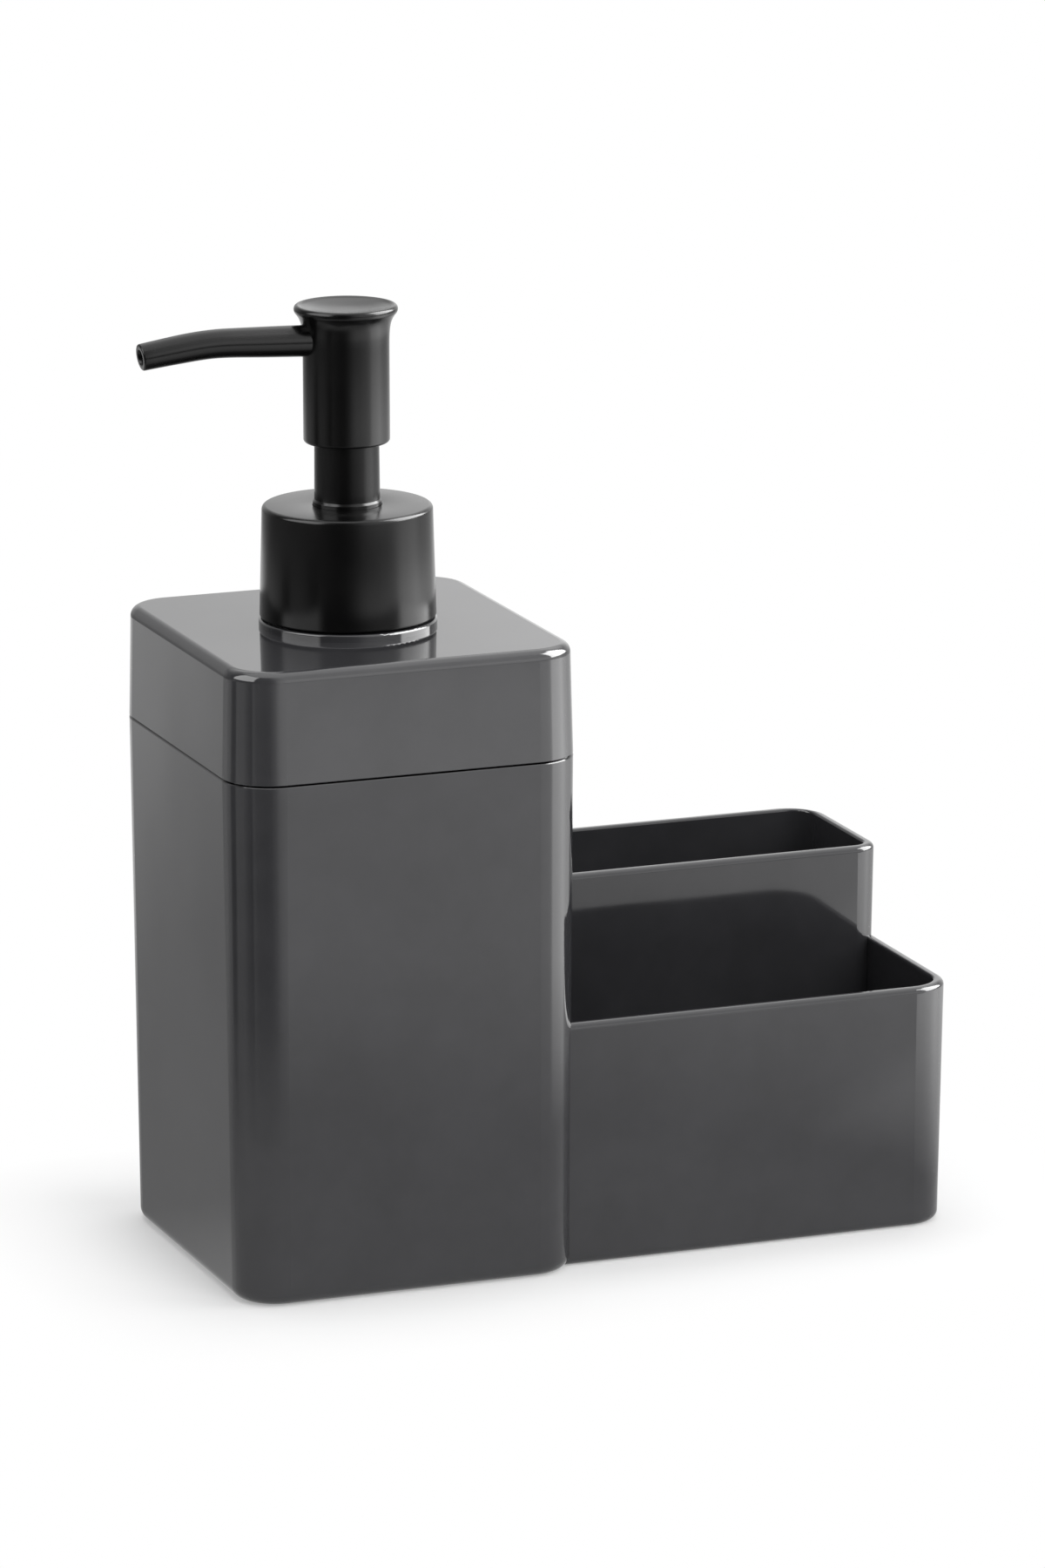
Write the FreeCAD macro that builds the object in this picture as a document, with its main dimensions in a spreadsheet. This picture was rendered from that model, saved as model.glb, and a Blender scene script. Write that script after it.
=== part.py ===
"""Soap dispenser with a lotion pump, a sponge pocket and a brush pocket.

Millimetres, +Z up. The origin is on the pump's axis, in the plane that the bottle stands on.
The bottle's front faces -Y, and the two pockets stand at its right, towards +X.
"""
import FreeCAD, Part
import math
import os
import Sketcher

SIZES = {
    # bottle and lid
    "bottle_width": 80, "bottle_depth": 84, "corner_radius": 11, "wall": 2.5, "floor_thick": 3,
    "seam_height": 116.5, "body_draft": 1.0, "base_round": 3, "floor_round": 2,
    "lid_height": 24.8, "lid_draft": 0.6, "lid_round": 2.3, "seam_chamfer": 0.35,
    "lip_depth": 5, "lip_wall": 1.6, "lip_gap": 0.1, "lip_root": 2,
    "plinth_radius": 19.6, "plinth_height": 1.55, "plinth_round": 0.5,
    # pockets
    "pocket_reach": 90.7, "pocket_draft": 1, "front_setback": 5.6, "back_overhang": 7.3,
    "front_rim_height": 55.6, "back_rim_height": 77.2, "front_pocket_depth": 44.1,
    "front_corner": 10, "divider_corner": 5.9, "back_corner": 9.5, "back_inner_corner": 5.7,
    "pocket_root": 10, "rim_round": 1.3, "rim_inner_round": 0.6,
    "pocket_base_round": 2, "pocket_floor_round": 1.5,
    # neck and its thread
    "neck_radius": 12.45, "neck_bore": 11, "thread_pitch": 4.233, "neck_turns": 1.5,
    "thread_rise": 1.25, "thread_base": 2.4, "thread_flank": 30, "thread_end_gap": 1,
    "thread_sink": 0.3, "thread_radial_gap": 0.2, "thread_axial_gap": 0.1, "insert_turns": 1.25,
    "thread_lead_in": 60,
    # collar
    "collar_gap": 0.45, "collar_height": 24.6, "collar_radius": 19.4, "collar_top_radius": 18.7,
    "collar_bore": 17, "collar_roof": 1.8, "collar_round": 1, "collar_foot_round": 0.4,
    "insert_radius": 15.6, "insert_roof": 1.8, "insert_foot_gap": 0.8, "rib_count": 8, "rib_thick": 1.2,
    "press_gap": 0.05, "running_gap": 0.06, "axial_gap": 0.1,
    # chimney, the fixed sleeve round the stem
    "flange_thick": 1.6, "chimney_flange_radius": 12.6, "chimney_foot_radius": 7.52,
    "chimney_radius": 7.2, "chimney_tip_radius": 7.05, "chimney_bore": 5.8, "chimney_step": 0.8,
    "chimney_slope": 0.5, "chimney_overlap": 4.5, "sleeve_depth": 7.5, "visible_chimney": 13.85,
    # pump cylinder, valve and dip tube
    "cylinder_bore": 5.5, "cylinder_wall": 1.2, "cylinder_flange_radius": 13,
    "valve_body_radius": 4.2, "valve_lip_radius": 1.85, "valve_lip": 0.8, "chamber_radius": 2.25,
    "chamber_height": 4.5, "throat_radius": 1.2, "throat_length": 2.6, "socket_depth": 9,
    "cylinder_taper": 3.4, "vent_radius": 0.6, "vent_drop": 4, "ball_radius": 2, "ball_gap": 0.02,
    "tube_radius": 2.6, "tube_bore": 1.75, "tube_clear": 2, "tube_bevel": 30,
    "gasket_thick": 1.3, "gasket_bore": 8,
    # stem, piston and spring
    "stem_radius": 3.5, "stem_bore": 1.9, "shoulder_radius": 4.6, "shoulder_thick": 1.4,
    "piston_float": 1, "piston_length": 5.6, "piston_waist": 4.9, "piston_lip": 1.3,
    "piston_recess": 4.1, "piston_recess_height": 3.2, "port_radius": 0.9, "port_rise": 1.6,
    "rod_flange_radius": 4.6, "rod_flange_thick": 1.6, "rod_pin_radius": 2.6, "rod_pin_length": 4.2,
    "rod_blade_length": 11, "rod_blade_thick": 1.2,
    "spring_length": 24.4, "spring_radius": 3.9, "wire_radius": 0.45, "spring_turns": 9,
    "spring_seat_gap": 0.15, "spring_arcs": 4,
    # head and nozzle
    "skirt_radius": 9.45, "skirt_bore": 7.95, "skirt_height": 26.3, "skirt_round": 0.8,
    "brim_radius": 11.35, "brim_rise": 2.9, "brim_edge": 1.15, "brim_round": 0.55,
    "flare_round": 5,
    "crest_inset": 0.55, "dish_radius": 9.3, "dish_depth": 1.3,
    "duct_rise": 22.75, "duct_roof": 3.7, "boss_radius": 5.2, "boss_rise": 6.3,
    "nozzle_reach": 47.2, "nozzle_bend_reach": 30, "nozzle_bend_half": 6, "nozzle_root_reach": 5,
    "nozzle_root_radius": 3.5, "nozzle_bend_radius": 3.17, "nozzle_tip_radius": 2.95,
    "nozzle_climb": 2.4, "nozzle_droop": 6.4, "nozzle_bore": 1.45, "overrun": 1,
}

PLACES = {
    # bottle and lid
    "bottle_left": "-Size.bottle_width / 2",
    "bottle_right": "Size.bottle_width / 2",
    "bottle_front": "-Size.bottle_depth / 2",
    "bottle_back": "Size.bottle_depth / 2",
    "base_left": "bottle_left + Size.body_draft",
    "base_right": "bottle_right - Size.body_draft",
    "base_front": "bottle_front + Size.body_draft",
    "base_back": "bottle_back - Size.body_draft",
    "base_corner": "Size.corner_radius - Size.body_draft",
    "lip_draft": "Size.body_draft * Size.lip_depth / Size.seam_height",
    "lip_inset": "Size.wall + lip_draft + Size.lip_gap",
    "body_draft_angle": "atan(Size.body_draft / Size.seam_height) / 1deg",
    "lid_draft_angle": "-atan(Size.lid_draft / Size.lid_height) / 1deg",
    "upright": "0",
    "floor_spread": "Size.body_draft * Size.floor_thick / Size.seam_height",
    "inner_base_left": "base_left + Size.wall - floor_spread",
    "inner_base_right": "base_right - Size.wall + floor_spread",
    "inner_base_front": "base_front + Size.wall - floor_spread",
    "inner_base_back": "base_back - Size.wall + floor_spread",
    "inner_base_corner": "base_corner - Size.wall + floor_spread",
    "lid_top": "Size.seam_height + Size.lid_height",
    "lid_ceiling": "lid_top - Size.wall",
    "lid_left": "bottle_left + Size.lid_draft",
    "lid_right": "bottle_right - Size.lid_draft",
    "lid_front": "bottle_front + Size.lid_draft",
    "lid_back": "bottle_back - Size.lid_draft",
    "lid_corner": "Size.corner_radius - Size.lid_draft",
    "lid_inner_left": "lid_left + Size.wall",
    "lid_inner_right": "lid_right - Size.wall",
    "lid_inner_front": "lid_front + Size.wall",
    "lid_inner_back": "lid_back - Size.wall",
    "lid_inner_corner": "lid_corner - Size.wall",
    "lip_low": "Size.seam_height - Size.lip_depth",
    "lip_left": "bottle_left + lip_inset",
    "lip_right": "bottle_right - lip_inset",
    "lip_front": "bottle_front + lip_inset",
    "lip_back": "bottle_back - lip_inset",
    "lip_corner": "Size.corner_radius - lip_inset",
    "lip_inner_left": "lip_left + Size.lip_wall",
    "lip_inner_right": "lip_right - Size.lip_wall",
    "lip_inner_front": "lip_front + Size.lip_wall",
    "lip_inner_back": "lip_back - Size.lip_wall",
    "lip_inner_corner": "lip_corner - Size.lip_wall",
    "lip_top": "Size.seam_height + Size.lip_root",
    # pockets
    "pocket_left": "bottle_right - Size.pocket_root",
    "pocket_right": "bottle_right + Size.pocket_reach",
    "pocket_base_right": "pocket_right - Size.pocket_draft",
    "rim_spread": "Size.pocket_draft * (Size.back_rim_height / Size.front_rim_height - 1)",
    "back_rim_right": "pocket_right + rim_spread",
    "pocket_front": "bottle_front + Size.front_setback",
    "pocket_base_front": "pocket_front + Size.pocket_draft",
    "divider_front": "pocket_front + Size.front_pocket_depth",
    "divider_back": "divider_front + Size.wall",
    "divider_foot": "divider_front + Size.pocket_draft + rim_spread",
    "pocket_draft_angle": "atan(Size.pocket_draft / Size.front_rim_height) / 1deg",
    "back_rim_back": "bottle_back + Size.back_overhang",
    "pocket_back": "back_rim_back - rim_spread",
    "pocket_base_back": "pocket_back - Size.pocket_draft",
    "pocket_base_corner": "Size.front_corner - Size.pocket_draft",
    "divider_base_corner": "Size.divider_corner - Size.pocket_draft - rim_spread",
    "back_base_corner": "Size.back_corner - Size.pocket_draft - rim_spread",
    "pocket_join": "divider_front + Size.divider_corner + 2 * Size.front_corner",
    "front_root": "pocket_left - Size.front_corner",
    "front_inner_left": "front_root + Size.wall",
    "front_inner_back": "pocket_join - Size.wall",
    "pocket_inner_left": "pocket_left + Size.wall",
    "pocket_inner_right": "pocket_right - Size.wall",
    "pocket_inner_front": "pocket_front + Size.wall",
    "back_rim_inner_right": "back_rim_right - Size.wall",
    "back_rim_inner_back": "back_rim_back - Size.wall",
    "front_inner_corner": "Size.front_corner - Size.wall",
    "divider_inner_corner": "Size.divider_corner - Size.wall",
    # heights along the pump's axis
    "plinth_top": "lid_top + Size.plinth_height",
    "collar_low": "plinth_top + Size.collar_gap",
    "collar_top": "collar_low + Size.collar_height",
    "collar_ceiling": "collar_top - Size.collar_roof",
    "insert_low": "collar_low + Size.insert_foot_gap",
    "insert_ceiling": "collar_ceiling - Size.insert_roof",
    "chimney_flange_top": "insert_ceiling - Size.axial_gap",
    "cylinder_top": "chimney_flange_top - Size.flange_thick",
    "cylinder_flange_low": "cylinder_top - Size.flange_thick",
    "neck_top": "cylinder_flange_low - Size.gasket_thick",
    "chimney_step_top": "collar_top + Size.chimney_step",
    "chimney_slope_top": "chimney_step_top + Size.chimney_slope",
    "skirt_low": "collar_top + Size.visible_chimney",
    "chimney_top": "skirt_low + Size.chimney_overlap",
    "chimney_low": "cylinder_top - Size.sleeve_depth",
    "shoulder_top": "chimney_low - Size.axial_gap",
    "shoulder_low": "shoulder_top - Size.shoulder_thick",
    "piston_top": "shoulder_low - Size.piston_float",
    "piston_low": "piston_top - Size.piston_length",
    "piston_recess_top": "piston_low + Size.piston_recess_height",
    "piston_upper_lip": "piston_top - Size.piston_lip",
    "piston_lower_lip": "piston_low + Size.piston_lip",
    "stem_low": "piston_low - Size.axial_gap",
    "rod_flange_low": "stem_low - Size.rod_flange_thick",
    "rod_pin_low": "rod_flange_low - Size.rod_pin_length",
    "spring_seat": "rod_flange_low - Size.spring_length",
    "valve_lip_low": "spring_seat - Size.valve_lip",
    "throat_top": "valve_lip_low - Size.chamber_height",
    "seat_top": "throat_top + Size.chamber_radius - Size.throat_radius",
    "tube_top": "throat_top - Size.throat_length",
    "socket_low": "tube_top - Size.socket_depth",
    "tube_low": "Size.floor_thick + Size.tube_clear",
    "ball_height": "throat_top - Size.throat_radius + sqrt(2) * (Size.ball_radius + Size.ball_gap)",
    "vent_height": "chimney_low - Size.vent_drop",
    "port_height": "piston_low + Size.port_rise",
    # radii about the pump's axis
    "cylinder_radius": "Size.cylinder_bore + Size.cylinder_wall",
    "sleeve_radius": "Size.cylinder_bore - Size.press_gap",
    "stem_guide": "Size.stem_radius + Size.running_gap",
    "stem_socket": "Size.stem_radius + Size.ball_gap",
    "tube_socket": "Size.tube_radius + Size.ball_gap",
    "piston_radius": "Size.cylinder_bore - Size.running_gap",
    "collar_hole": "Size.chimney_foot_radius + Size.running_gap",
    "insert_hole": "collar_hole + Size.insert_foot_gap",
    "insert_roof_radius": "Size.collar_bore - Size.press_gap",
    "insert_bore": "Size.neck_radius + Size.thread_rise + Size.thread_radial_gap",
    "rib_root": "Size.insert_radius - Size.thread_sink",
    "blade_reach": "sqrt((Size.stem_bore - Size.ball_gap) ^ 2 - (Size.rod_blade_thick / 2) ^ 2)",
    # thread ribs and spring
    "thread_start": "neck_top - Size.thread_end_gap - Size.thread_base / 2 "
                    "- Size.thread_pitch * Size.neck_turns",
    "thread_offset": "Size.thread_base - tan(Size.thread_flank * 1deg) "
                     "* (Size.thread_rise + Size.thread_radial_gap) + Size.thread_axial_gap",
    "spring_low": "spring_seat + Size.spring_seat_gap + Size.wire_radius",
    "spring_pitch": "(Size.spring_length - 2 * Size.spring_seat_gap - 2 * Size.wire_radius) "
                    "/ Size.spring_turns",
    "cylinder_cone_top": "throat_top + Size.cylinder_taper",
    # head
    "head_ceiling": "duct_height - Size.duct_roof",
    "duct_height": "skirt_low + Size.duct_rise",
    "boss_low": "skirt_low + Size.boss_rise",
    "brim_root": "skirt_low + Size.skirt_height",
    "brim_low": "brim_root + Size.brim_rise - Size.brim_edge / 2",
    "brim_high": "brim_low + Size.brim_edge",
    "crest_top": "brim_high + Size.crest_inset",
    "crest_radius": "Size.brim_radius - Size.crest_inset",
    "dish_curve": "(Size.dish_radius ^ 2 + Size.dish_depth ^ 2) / (2 * Size.dish_depth)",
    # nozzle, as stations along its line: reach to the left, height, downward tilt and radius
    "nozzle_before": "Size.nozzle_bend_reach - Size.nozzle_bend_half",
    "nozzle_after": "Size.nozzle_bend_reach + Size.nozzle_bend_half",
    "nozzle_start_height": "duct_height - tan(Size.nozzle_climb * 1deg) * Size.nozzle_root_reach",
    "nozzle_before_radius": "Size.nozzle_root_radius + (Size.nozzle_bend_radius "
                            "- Size.nozzle_root_radius) * (nozzle_before - Size.nozzle_root_reach) "
                            "/ (Size.nozzle_bend_reach - Size.nozzle_root_reach)",
    "nozzle_after_radius": "Size.nozzle_bend_radius + (Size.nozzle_tip_radius "
                           "- Size.nozzle_bend_radius) * Size.nozzle_bend_half "
                           "/ (Size.nozzle_reach - Size.nozzle_bend_reach)",
    "nozzle_knee": "nozzle_start_height + tan(Size.nozzle_climb * 1deg) * Size.nozzle_bend_reach",
    "nozzle_before_height": "nozzle_knee - tan(Size.nozzle_climb * 1deg) * Size.nozzle_bend_half",
    "nozzle_after_height": "nozzle_knee - tan(Size.nozzle_droop * 1deg) * Size.nozzle_bend_half",
    "nozzle_turn": "Size.nozzle_climb + Size.nozzle_droop",
    "nozzle_mid_height": "nozzle_knee - Size.nozzle_bend_half * tan(nozzle_turn / 4 * 1deg)",
    "nozzle_mid_climb": "(Size.nozzle_climb - Size.nozzle_droop) / 2",
    "nozzle_tip_drop": "tan(Size.nozzle_droop * 1deg) * (Size.nozzle_reach - Size.nozzle_bend_reach)",
    "nozzle_tip_height": "nozzle_knee - nozzle_tip_drop",
    "nozzle_end_climb": "-Size.nozzle_droop",
    "bore_end": "Size.nozzle_reach + Size.overrun",
    "bore_end_height": "nozzle_tip_height - tan(Size.nozzle_droop * 1deg) * Size.overrun",
}

TOLERANCE = 0.01
ACROSS = FreeCAD.Vector(0, 1, 0)
UPRIGHT = FreeCAD.Vector(0, 0, 1)
BOTTLE_SIDES = ("bottle_left", "bottle_right", "bottle_front", "bottle_back", "corner_radius",
                "corner_radius")

doc = FreeCAD.newDocument("dispenser")
sheet = doc.addObject("Spreadsheet::Sheet", "Size")
for row, (alias, value) in enumerate(SIZES.items(), start=1):
    sheet.set(f"A{row}", str(value))
    sheet.setAlias(f"A{row}", alias)
doc.recompute()
place = doc.addObject("App::VarSet", "Place")
for name in PLACES:
    place.addProperty("App::PropertyFloat", name)
for name, expression in PLACES.items():
    place.setExpression(name, expression)
doc.recompute()


def bound(name):
    """The expression that reads a named size or place."""
    return f"Size.{name}" if name in SIZES else f"Place.{name}"


def value(name):
    """The number that a named size or place has now."""
    return float(sheet.get(name)) if name in SIZES else float(getattr(place, name))


def new_sketch(body, role, height=None):
    """An empty sketch on one of a body's own origin planes, raised to a named height."""
    sketch = body.newObject("Sketcher::SketchObject", f"{body.Name}_sketch")
    plane = next(p for p in body.Origin.OriginFeatures if p.Role == role)
    sketch.AttachmentSupport = [(plane, "")]
    sketch.MapMode = "FlatFace"
    if height:
        sketch.setExpression("AttachmentOffset.Base.z", bound(height))
    return sketch


def pin_point(sketch, index, end, across, up):
    """Hold one end of a sketch line at named coordinates."""
    for kind, name, axis in (("DistanceX", across, -2), ("DistanceY", up, -1)):
        if name is None:
            sketch.addConstraint(Sketcher.Constraint("PointOnObject", index, end, axis))
        else:
            row = sketch.addConstraint(Sketcher.Constraint(kind, -1, 1, index, end, value(name)))
            sketch.setExpression(f"Constraints[{row}]", bound(name))


def outline(sketch, points):
    """A closed outline of straight lines through points given by name; None is the axis."""
    spots = [FreeCAD.Vector(value(a) if a else 0, value(b) if b else 0, 0) for a, b in points]
    count = len(points)
    for index in range(count):
        sketch.addGeometry(Part.LineSegment(spots[index], spots[(index + 1) % count]), False)
    for index in range(count):
        following = (index + 1) % count
        sketch.addConstraint(Sketcher.Constraint("Coincident", index, 2, following, 1))
    for index, (across, up) in enumerate(points):
        pin_point(sketch, index, 1, across, up)


def turned(label, points):
    """A body turned about the pump's axis from an outline of (radius, height) names."""
    body = doc.addObject("PartDesign::Body", label)
    sketch = new_sketch(body, "XZ_Plane")
    outline(sketch, points)
    revolution = body.newObject("PartDesign::Revolution", f"{label}_turn")
    revolution.Profile = sketch
    revolution.ReferenceAxis = (sketch, ["V_Axis"])
    doc.recompute()
    return body


def rounded_rectangle(sketch, left, right, front, back, front_radius, back_radius):
    """A rectangle with round corners, held by the names of its four sides and two radii."""
    x0, x1, y0, y1 = (value(name) for name in (left, right, front, back))
    r0, r1 = value(front_radius), value(back_radius)
    corners = [(x1 - r0, y0 + r0, r0, -0.5), (x1 - r1, y1 - r1, r1, 0), (x0 + r1, y1 - r1, r1, 0.5),
               (x0 + r0, y0 + r0, r0, 1)]
    up = FreeCAD.Vector(0, 0, 1)
    for x, y, radius, turn in corners:
        circle = Part.Circle(FreeCAD.Vector(x, y, 0), up, radius)
        start = turn * math.pi
        sketch.addGeometry(Part.ArcOfCircle(circle, start, start + math.pi / 2), False)
    spots = [sketch.Geometry[i].StartPoint if end == 1 else sketch.Geometry[i].EndPoint
             for i in range(4) for end in (1, 2)]
    for i in range(4):
        start, end = spots[2 * i + 1], spots[(2 * i + 2) % 8]
        sketch.addGeometry(Part.LineSegment(start, end), False)
    for i in range(4):
        sketch.addConstraint(Sketcher.Constraint("Tangent", i, 2, 4 + i, 1))
        sketch.addConstraint(Sketcher.Constraint("Tangent", 4 + i, 2, (i + 1) % 4, 1))
    for line, kind in ((4, "Vertical"), (5, "Horizontal"), (6, "Vertical"), (7, "Horizontal")):
        sketch.addConstraint(Sketcher.Constraint(kind, line))
    sketch.addConstraint(Sketcher.Constraint("Equal", 0, 3))
    sketch.addConstraint(Sketcher.Constraint("Equal", 1, 2))
    for kind, line, name in (("DistanceX", 4, right), ("DistanceY", 5, back), ("DistanceX", 6, left),
                             ("DistanceY", 7, front)):
        row = sketch.addConstraint(Sketcher.Constraint(kind, -1, 1, line, 1, value(name)))
        sketch.setExpression(f"Constraints[{row}]", bound(name))
    for arc, name in ((0, front_radius), (1, back_radius)):
        row = sketch.addConstraint(Sketcher.Constraint("Radius", arc, value(name)))
        sketch.setExpression(f"Constraints[{row}]", bound(name))


def drafted(body, kind, height, length, sides, taper):
    """A Pad up from a round-cornered section, or a Pocket down from one, with draft on all sides."""
    sketch = new_sketch(body, "XY_Plane", height)
    rounded_rectangle(sketch, *sides)
    feature = body.newObject(f"PartDesign::{kind}", f"{body.Name}_{kind.lower()}")
    feature.Profile = sketch
    feature.setExpression("Length", length)
    feature.setExpression("TaperAngle", f"{taper} * 1deg")
    doc.recompute()


def drafted_pad(label, low, high, sides, angle):
    """A body padded up from one round-cornered section, with the same draft on all its sides."""
    body = doc.addObject("PartDesign::Body", label)
    length = f"{bound(high)} - {bound(low)}" if low else bound(high)
    drafted(body, "Pad", low, length, sides, bound(angle))
    return body


def edges_at(shape, height, inside=None):
    """The names of the edges that lie flat at a height, where inside(edge) holds."""
    names = []
    for number, edge in enumerate(shape.Edges, start=1):
        box = edge.BoundBox
        if abs(box.ZMin - height) < TOLERANCE and abs(box.ZMax - height) < TOLERANCE:
            if inside is None or inside(edge):
                names.append(f"Edge{number}")
    return names


def soften(body, kind, size, names):
    """A fillet or chamfer of a named size on some edges of a body's last feature."""
    previous = body.Tip
    feature = body.newObject(f"PartDesign::{kind}", f"{body.Name}_{kind.lower()}")
    feature.Base = (previous, names)
    feature.setExpression("Radius" if kind == "Fillet" else "Size", bound(size))
    doc.recompute()
    return feature


def joined(kind, label, base, tool):
    """A Part boolean of two objects."""
    result = doc.addObject(f"Part::{kind}", label)
    result.Base = base
    result.Tool = tool
    doc.recompute()
    return result


def rod_between(label, radius, low, high):
    """A plain cylinder on the pump's axis between two named heights."""
    piece = doc.addObject("Part::Cylinder", label)
    piece.setExpression("Radius", bound(radius))
    piece.setExpression("Height", f"{bound(high)} - {bound(low)}")
    piece.setExpression("Placement.Base.z", bound(low))
    doc.recompute()
    return piece


def cross_hole(label, radius, reach, height):
    """A cylinder along X through the pump's axis, for a hole in a turned wall."""
    piece = doc.addObject("Part::Cylinder", label)
    piece.Placement = FreeCAD.Placement(FreeCAD.Vector(), FreeCAD.Rotation(ACROSS, 90))
    piece.setExpression("Radius", bound(radius))
    piece.setExpression("Height", f"2 * {bound(reach)}")
    piece.setExpression("Placement.Base.x", f"-{bound(reach)}")
    piece.setExpression("Placement.Base.z", bound(height))
    doc.recompute()
    return piece


def ring_edges(shape, radius, height):
    """The names of a turned shape's circular edges at a named radius and height."""
    names = []
    for number, edge in enumerate(shape.Edges, start=1):
        box = edge.BoundBox
        flat = abs(box.ZMin - value(height)) < TOLERANCE and abs(box.ZMax - value(height)) < TOLERANCE
        if flat and abs(box.XMax - value(radius)) < TOLERANCE:
            names.append(f"Edge{number}")
    return names


def helix_path(radius, pitch, turns):
    """A helix wire about the pump's axis."""
    return Part.Wire(Part.makeHelix(pitch, pitch * turns, radius).Edges)


def arc_helix(radius, pitch, turns, steps):
    """A helix wire about the pump's axis as pairs of smoothly joined arcs, so many to a turn."""
    lead = pitch / (2 * math.pi)
    edges = []

    def on_helix(angle):
        """A point of the helix and its direction there."""
        across, along = math.cos(angle), math.sin(angle)
        heading = FreeCAD.Vector(-radius * along, radius * across, lead).normalize()
        return FreeCAD.Vector(radius * across, radius * along, lead * angle), heading

    for number in range(int(turns * steps)):
        start, start_heading = on_helix(2 * math.pi * number / steps)
        end, end_heading = on_helix(2 * math.pi * (number + 1) / steps)
        chord = end - start
        both = start_heading + end_heading
        square = 2 * (1 - start_heading.dot(end_heading))
        linear = 2 * chord.dot(both)
        root = math.sqrt(linear * linear + 4 * square * chord.dot(chord))
        reach = (root - linear) / (2 * square)
        near, far = start + start_heading * reach, end - end_heading * reach
        middle = (near + far) * 0.5
        edges.append(arc_round(start, near, middle))
        edges.append(arc_round(middle, far, end))
    return Part.Wire(edges)


def arc_round(start, corner, end):
    """The arc from start to end that touches the two lines which meet at the corner."""
    half, leg = (end - start).Length / 2, (corner - start).Length
    inward = ((start + end) * 0.5 - corner)
    radius = half * leg / inward.Length
    inward.normalize()
    top = corner + inward * (math.sqrt(radius * radius + leg * leg) - radius)
    return Part.Arc(start, top, end).toShape()


def fixed_shape(label, shape, height, spin=0):
    """A Part::Feature that holds a swept shape, raised to a height and turned about the axis."""
    feature = doc.addObject("Part::Feature", label)
    feature.Shape = shape
    turn = FreeCAD.Rotation(UPRIGHT, spin)
    feature.Placement = FreeCAD.Placement(FreeCAD.Vector(0, 0, height), turn)
    return feature


def thread_rib(label, radius, outward, turns, height, spin):
    """A helical rib of trapezoid section; outward is 1 on an outer wall and -1 on an inner one."""
    rise, sink, half = value("thread_rise"), value("thread_sink"), value("thread_base") / 2
    slope = math.tan(math.radians(value("thread_flank")))
    foot = FreeCAD.Vector(radius - outward * sink, 0, half + slope * sink)
    crest = FreeCAD.Vector(radius + outward * rise, 0, half - slope * rise)
    below = [FreeCAD.Vector(corner.x, 0, -corner.z) for corner in (foot, crest)]
    profile = Part.makePolygon([below[0], below[1], crest, foot, below[0]])
    path = helix_path(radius, value("thread_pitch"), turns)
    return fixed_shape(label, path.makePipeShell([profile], True, True), height, spin)


def make_body():
    """The tub and the two pockets, one moulding."""
    pockets = doc.addObject("PartDesign::Body", "pockets")
    lean = bound("pocket_draft_angle")
    drafted(pockets, "Pad", None, bound("front_rim_height"), (
        "front_root", "pocket_base_right", "pocket_base_front", "pocket_join",
        "pocket_base_corner", "pocket_base_corner"), lean)
    depth = "Size.front_rim_height - Size.floor_thick"
    mouth = ("front_inner_left", "pocket_inner_right", "pocket_inner_front", "front_inner_back")
    drafted(pockets, "Pocket", "front_rim_height", depth, (
        *mouth, "front_inner_corner", "front_inner_corner"), f"-{lean}")
    soften_rim(pockets, "front_rim_height", mouth)
    soften(pockets, "Fillet", "pocket_floor_round", edges_at(pockets.Shape, value("floor_thick")))
    drafted(pockets, "Pad", None, bound("back_rim_height"), (
        "pocket_left", "pocket_base_right", "divider_foot", "pocket_base_back",
        "divider_base_corner", "back_base_corner"), lean)
    depth = "Size.back_rim_height - Size.floor_thick"
    mouth = ("pocket_inner_left", "back_rim_inner_right", "divider_back", "back_rim_inner_back")
    drafted(pockets, "Pocket", "back_rim_height", depth, (
        *mouth, "divider_inner_corner", "back_inner_corner"), f"-{lean}")
    soften_rim(pockets, "back_rim_height", mouth)
    soften(pockets, "Fillet", "pocket_floor_round",
           edges_at(pockets.Shape, value("floor_thick"), in_back_pocket))
    soften(pockets, "Fillet", "pocket_base_round", edges_at(pockets.Shape, 0))
    tub = drafted_pad("tub", None, "seam_height", (
        "base_left", "base_right", "base_front", "base_back", "base_corner", "base_corner"),
        "body_draft_angle")
    soften(tub, "Chamfer", "seam_chamfer", edges_at(tub.Shape, value("seam_height")))
    soften(tub, "Fillet", "base_round", edges_at(tub.Shape, 0))
    space = drafted_pad("tub_space", "floor_thick", "seam_height", (
        "inner_base_left", "inner_base_right", "inner_base_front", "inner_base_back",
        "inner_base_corner", "inner_base_corner"), "body_draft_angle")
    soften(space, "Fillet", "floor_round", edges_at(space.Shape, value("floor_thick")))
    return joined("Cut", "body", joined("Fuse", "body_solid", pockets, tub), space)


def within(left, right, front, back):
    """A test for edges that lie inside a rectangle, or on it, given by the names of its sides."""
    x0, x1, y0, y1 = (value(name) for name in (left, right, front, back))

    def holds(edge):
        """True for an edge inside the rectangle or on one of its sides."""
        box = edge.BoundBox
        return (box.XMin > x0 - TOLERANCE and box.XMax < x1 + TOLERANCE
                and box.YMin > y0 - TOLERANCE and box.YMax < y1 + TOLERANCE)
    return holds


def soften_rim(body, height, mouth):
    """Round a pocket's rim at a named height: its outside well, and its mouth a little."""
    in_mouth = within(*mouth)
    for size, wanted in (("rim_round", False), ("rim_inner_round", True)):
        soften(body, "Fillet", size,
               edges_at(body.Shape, value(height), lambda edge: in_mouth(edge) == wanted))


def in_back_pocket(edge):
    """True for an edge inside the back pocket."""
    box = edge.BoundBox
    return box.XMin > value("pocket_left") and box.YMin > value("divider_back") - TOLERANCE


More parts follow.
